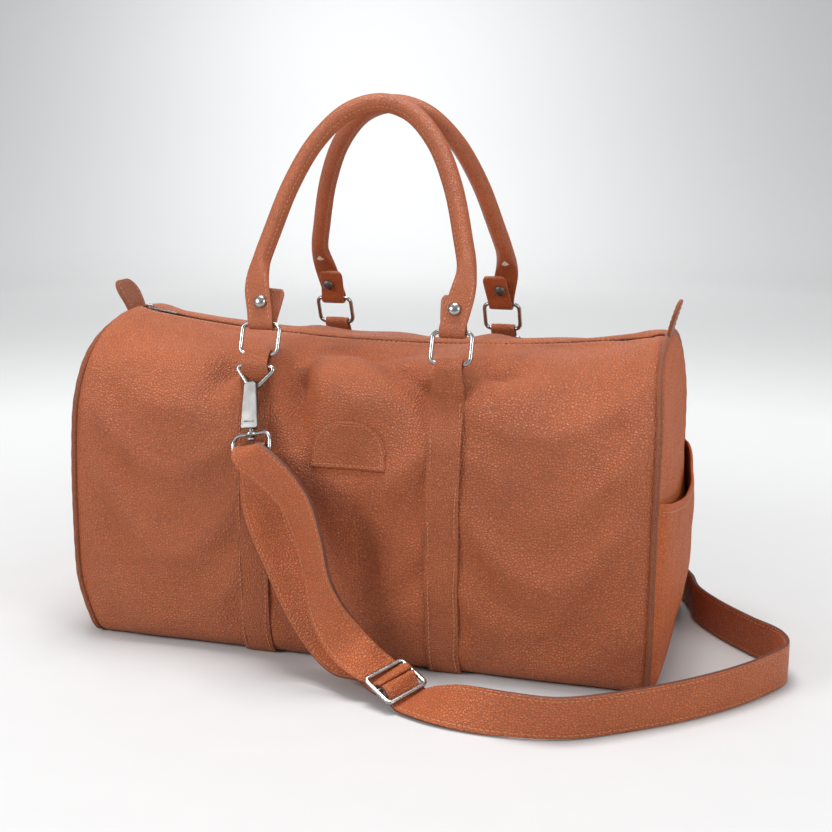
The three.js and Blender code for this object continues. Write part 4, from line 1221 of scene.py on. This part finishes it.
def add_hook(side):
    knob = [(0.01, -1.2), (2.6, -1.2), (3.4, -0.7), (3.4, 0.5), (2.2, 1.2), (2.2, 9.0), (3.6, 9.3),
            (3.9, 10.0), (3.6, 10.8), (0.01, 11)]
    # Painted shade: a thin dark sheet on the plate stands for the shaded slot near its foot.
    slot = front_view([(-4.2, -29.2), (4.2, -29.2), (4.2, -28.4), (-4.2, -28.4)], 6.85, 7.08)
    gate = merge(side_view([(2.6, -2.6), (4.8, -2.6), (5, -20), (2, -20)], 2.5),
                 side_view([(4.6, -7.4), (5.5, -7.8), (5.7, -9), (5.5, -10.2), (4.6, -10.6)], 1.6))
    add_seated("hook_body", merge(hook_claw(), hook_plate()), BRUSHED, "hook", side, "hook", (0.7, 3))
    add_seated("hook_post", turned(knob, -42.4), NICKEL, "hook", side)
    add_seated("hook_slot_painted_shade", slot, DARK_METAL, "hook", side)
    add_seated("gate_bar", gate, NICKEL, "gate", side, "hook_gate", (0.4,))


def add_eye(side):
    path = closed_even(rounded_frame(EYE_HALF_WIDTH, EYE_HEIGHT, 7, 2.6), 1.0)
    wire = sweep(path + (0, -1, EYE_BAR), Y_AXIS, circle(EYE_WIRE, 14), True)
    collar = turned([(2.7, -1.7), (4.2, -1.7), (4.7, -1.0), (4.7, 1.0), (4.2, 1.7), (2.7, 1.7)],
                    EYE_BAR + EYE_HEIGHT - 0.2)
    p, f = merge(wire, collar)
    p = turn(p + (0, 1, 0), -CLIP_EYE_TURN, 2) - (0, 1, 0)
    add_seated("eye_wire", (p, f), NICKEL, "clip_eye", side, "hook_eye")


def add_strap_ring(side):
    name = f"strap_ring_{face_of(side)}"
    reach, corner, low = STRAP_RING_HALF - 2.5, 2.5, 8
    path = (bend_points(reach, -corner, corner, 90, -40)
            + bend_points(0, low - STRAP_RING_DROP, low, -50, -130, 12)
            + bend_points(-reach, -corner, corner, 220, 90))
    ring = sweep(closed_even(np.array(path), 1.0), Y_AXIS, circle(WIRE, 14), True)
    piece(f"strap_ring_wire_{face_of(side)}", move_mesh(ring, hang, side), NICKEL, name, "nickel", name)


# ---------- shoulder strap ----------

# Middle of the strap and the direction of its width, from the buckle up to the front clip.
FRONT_LAYER = [((30, -161, 28), (0.45, 0.75, 0.45)), ((15, -158, 39), (0.7, 0.4, 0.5)),
               ((-1, -155, 60), (0.9, -0.1, 0.3)), ((-12, -151, 90), (0.85, -0.5, 0.1)),
               ((-20, -147, 118), (0.9, -0.45, 0.1)), ((-31, -144, 144), (1, -0.35, 0.2)),
               ((-44, -142, 159), (1, -0.3, 0.3)), ((-59, -139, 170), (1, -0.3, 0.3))]
# Second layer, behind the first, down to the buckle's middle bar.
REAR_LAYER = [((-71, -125.5, 166), (1, -0.3, 0.1)), ((-68, -126, 148), (1, 0.1, 0.1)),
              ((-61, -130, 122), (0.75, 0.62, 0.1)), ((-48, -131.5, 92), (0.65, 0.7, 0.15)),
              ((-31, -135, 60), (0.65, 0.65, 0.25)), ((-11, -139, 34), (0.75, 0.55, 0.3)),
              ((10, -146, 19), (0.5, 0.8, 0.3))]
# From the buckle along the floor, round the right end and up the back to the rear clip.
LONG_RUN = [((88, -183, 10), (0.3, 0.8, 0.45)), ((110, -192, 14), (0.15, 0.6, 0.75)),
            ((148, -201, 17.5), (0, 0.15, 1)), ((190, -197, 17.5), (0, -0.05, 1)),
            ((232, -172, 17), (0, -0.05, 1)), ((284, -130, 17), (0, 0, 1)), ((324, -84, 17), (0, 0, 1)),
            ((344, -46, 17), (0, 0, 1)), ((338, -20, 17), (0, 0, 1)), ((314, 4, 17), (0, 0, 1)),
            ((286, 36, 17), (0, 0, 1)), ((266, 68, 17), (0, 0, 1)), ((258, 98, 17), (0, 0, 1)),
            ((242, 128, 17), (0, 0, 1)), ((212, 146, 18), (0.1, 0.1, 1)), ((174, 152, 28), (0.6, 0.3, 0.8)),
            ((136, 152, 58), (0.9, 0.1, 0.5)), ((108, 146, 98), (1, 0, 0.3)),
            ((90, 137, 138), (1, -0.1, 0.1))]
TAIL = [((70, 125.5, 164), (1, -0.3, 0))]
BUCKLE_AT = np.array([58.0, -168.0, 17.0])
BUCKLE_ALONG = unit([0.78, -0.42, -0.36])
BUCKLE_SIDE = np.array([0.35, 0.85, 0.2])


def eye_turn(side):
    """The strap's turn over a swivel eye's bar."""
    r = EYE_WIRE + 3 * GAP + STRAP_THICK / 2
    bar = turn(X_AXIS, -CLIP_EYE_TURN, 2)
    out = np.array([bar[1], -bar[0], 0])
    width = turn(turn(bar, -CLIP_SWAY, 1), -CLIP_HANG, 0) * (-side, -side, 1)
    spots = [(0, -1, EYE_BAR) + r * (math.cos(a) * out + math.sin(a) * Z_AXIS)
             for a in np.radians([-20, 30, 90, 150, 200])]
    return [(hang(seat(spot), side), width) for spot in spots]


def at_buckle(step, rise):
    face = unit(np.cross(BUCKLE_ALONG, BUCKLE_SIDE))
    return BUCKLE_AT + step * BUCKLE_ALONG + np.sign(face[2]) * rise * face, BUCKLE_SIDE


def strap_routes():
    over = BUCKLE_WIRE + 2 * GAP + STRAP_THICK / 2
    weave = [(1, 1), (3, 1), (11.5, -1), (BUCKLE_HALF, -1), (18, -1)]
    front = ([at_buckle(-step, rise * over) for step, rise in weave] + FRONT_LAYER + eye_turn(-1) + REAR_LAYER
             + [at_buckle(-24, -2.4 * over), at_buckle(-14, -2.4 * over), at_buckle(-3, -1.6 * over)])
    main = [at_buckle(step, rise * over) for step, rise in weave] + LONG_RUN + eye_turn(1) + TAIL
    return front, main


def clip_weight(p):
    """Share of the clip's swing: none low on the strap, all of it at the swivel eye."""
    bent = ease((p[:, 2] - CLIP_BEND_LOW) / (CLIP_BEND_HIGH - CLIP_BEND_LOW))
    return bent * (abs(p[:, 0] * np.sign(p[:, 1]) - 62) < 75)


def add_strap(name, route, node, side):
    spots, widths = (np.array(column, float) for column in zip(*route))
    path, widths = even(spots, 3.0, widths)
    along = unit(np.gradient(path, axis=0))
    widths = square_to(widths, along)
    section = strap_section(STRAP_WIDTH, STRAP_THICK)
    count = len(section)
    left = {k for k, (a, b) in enumerate(section) if a < 0 and abs(b) < STRAP_THICK * 0.45}

    def bend_at_clip(obj, *nodes):
        start, end = ((0, side * CLIP_BEND_Y, z) for z in (CLIP_BEND_LOW, CLIP_BEND_HIGH))
        bend(obj, f"clip_eye_{face_of(side)}", start, end, clip_weight, "leather", *nodes)

    strap = make(name, *sweep(path, widths, section), STRAP)
    paint_edges(strap, left | {count - 3, count - 2, count - 1, 0, 1, 2, 3}, count)
    bend_at_clip(strap, node)
    face = np.cross(along, widths)
    reach, lift = STRAP_WIDTH / 2 - SEAM_INSET, STRAP_THICK / 2 + 0.02
    rows = [stitch_row(path + way * reach * widths + top * lift * face, top * face)
            for way in (-1, 1) for top in (-1, 1)]
    bend_at_clip(make(f"stitches_{name}", *merge(*rows), THREAD))


def add_buckle():
    half = STRAP_WIDTH / 2 + 0.6 + BUCKLE_WIRE
    rim = closed_even(rounded_frame(half, 2 * BUCKLE_HALF, 3.4, 3.4), 1.0)
    rim = rim[:, [0, 2, 1]] - (0, BUCKLE_HALF, 0)
    loop = sweep(rim, Z_AXIS, rounded(BUCKLE_WIRE, BUCKLE_WIRE * 1.15, 3.2, 16), True)
    bar = np.linspace(-half, half, 20)[:, None] * X_AXIS
    p, f = merge(loop, sweep(bar, Z_AXIS, circle(1.5, 14)))
    side = unit(BUCKLE_SIDE - BUCKLE_SIDE @ BUCKLE_ALONG * BUCKLE_ALONG)
    p = p @ np.array([side, BUCKLE_ALONG, np.cross(side, BUCKLE_ALONG)]) + BUCKLE_AT
    piece("buckle", (p, f), NICKEL, "bag", "nickel", "strap_buckle")


def dress_hidden_nodes():
    """What stays from the frame, inside the bag, gets its own finish."""
    rope = moulded("rope_core", (205, 194, 170))
    finishes = {"base_board": moulded("base_board_grain", (52, 44, 40)), "handle_core_front": rope,
                "handle_core_back": rope}
    for name, finish in finishes.items():
        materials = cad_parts[name].data.materials
        materials.clear()
        materials.append(finish)


add_camera()
add_studio()
front_skin = Skin(-1, FRONT_HOLLOWS, 3)
back_skin = Skin(1, BACK_HOLLOWS, 5)
for panel in (front_skin, back_skin):
    add_skin(panel)
    add_zip_edge_stitches(panel)
    add_tape(panel.side)
    add_teeth(panel.side)
    for hand_sign in (-1, 1):
        add_band(panel, hand_sign, (panel.side < 0) == (hand_sign < 0))
        add_ring(panel.side, hand_sign)
for end_sign in (-1, 1):
    add_end(end_sign)
    add_pocket(end_sign)
    add_piping(end_sign)
    add_tab(end_sign)
add_base()
add_slider()
add_pull()
add_patch(front_skin)
for face_side in (-1, 1):
    add_handle(face_side)
    add_rivets(face_side)
    add_hook(face_side)
    add_eye(face_side)
    add_strap_ring(face_side)
front_route, main_route = strap_routes()
add_strap("strap_double", front_route, "strap_front", -1)
add_strap("strap_long", main_route, "strap_main", 1)
add_buckle()
dress_hidden_nodes()
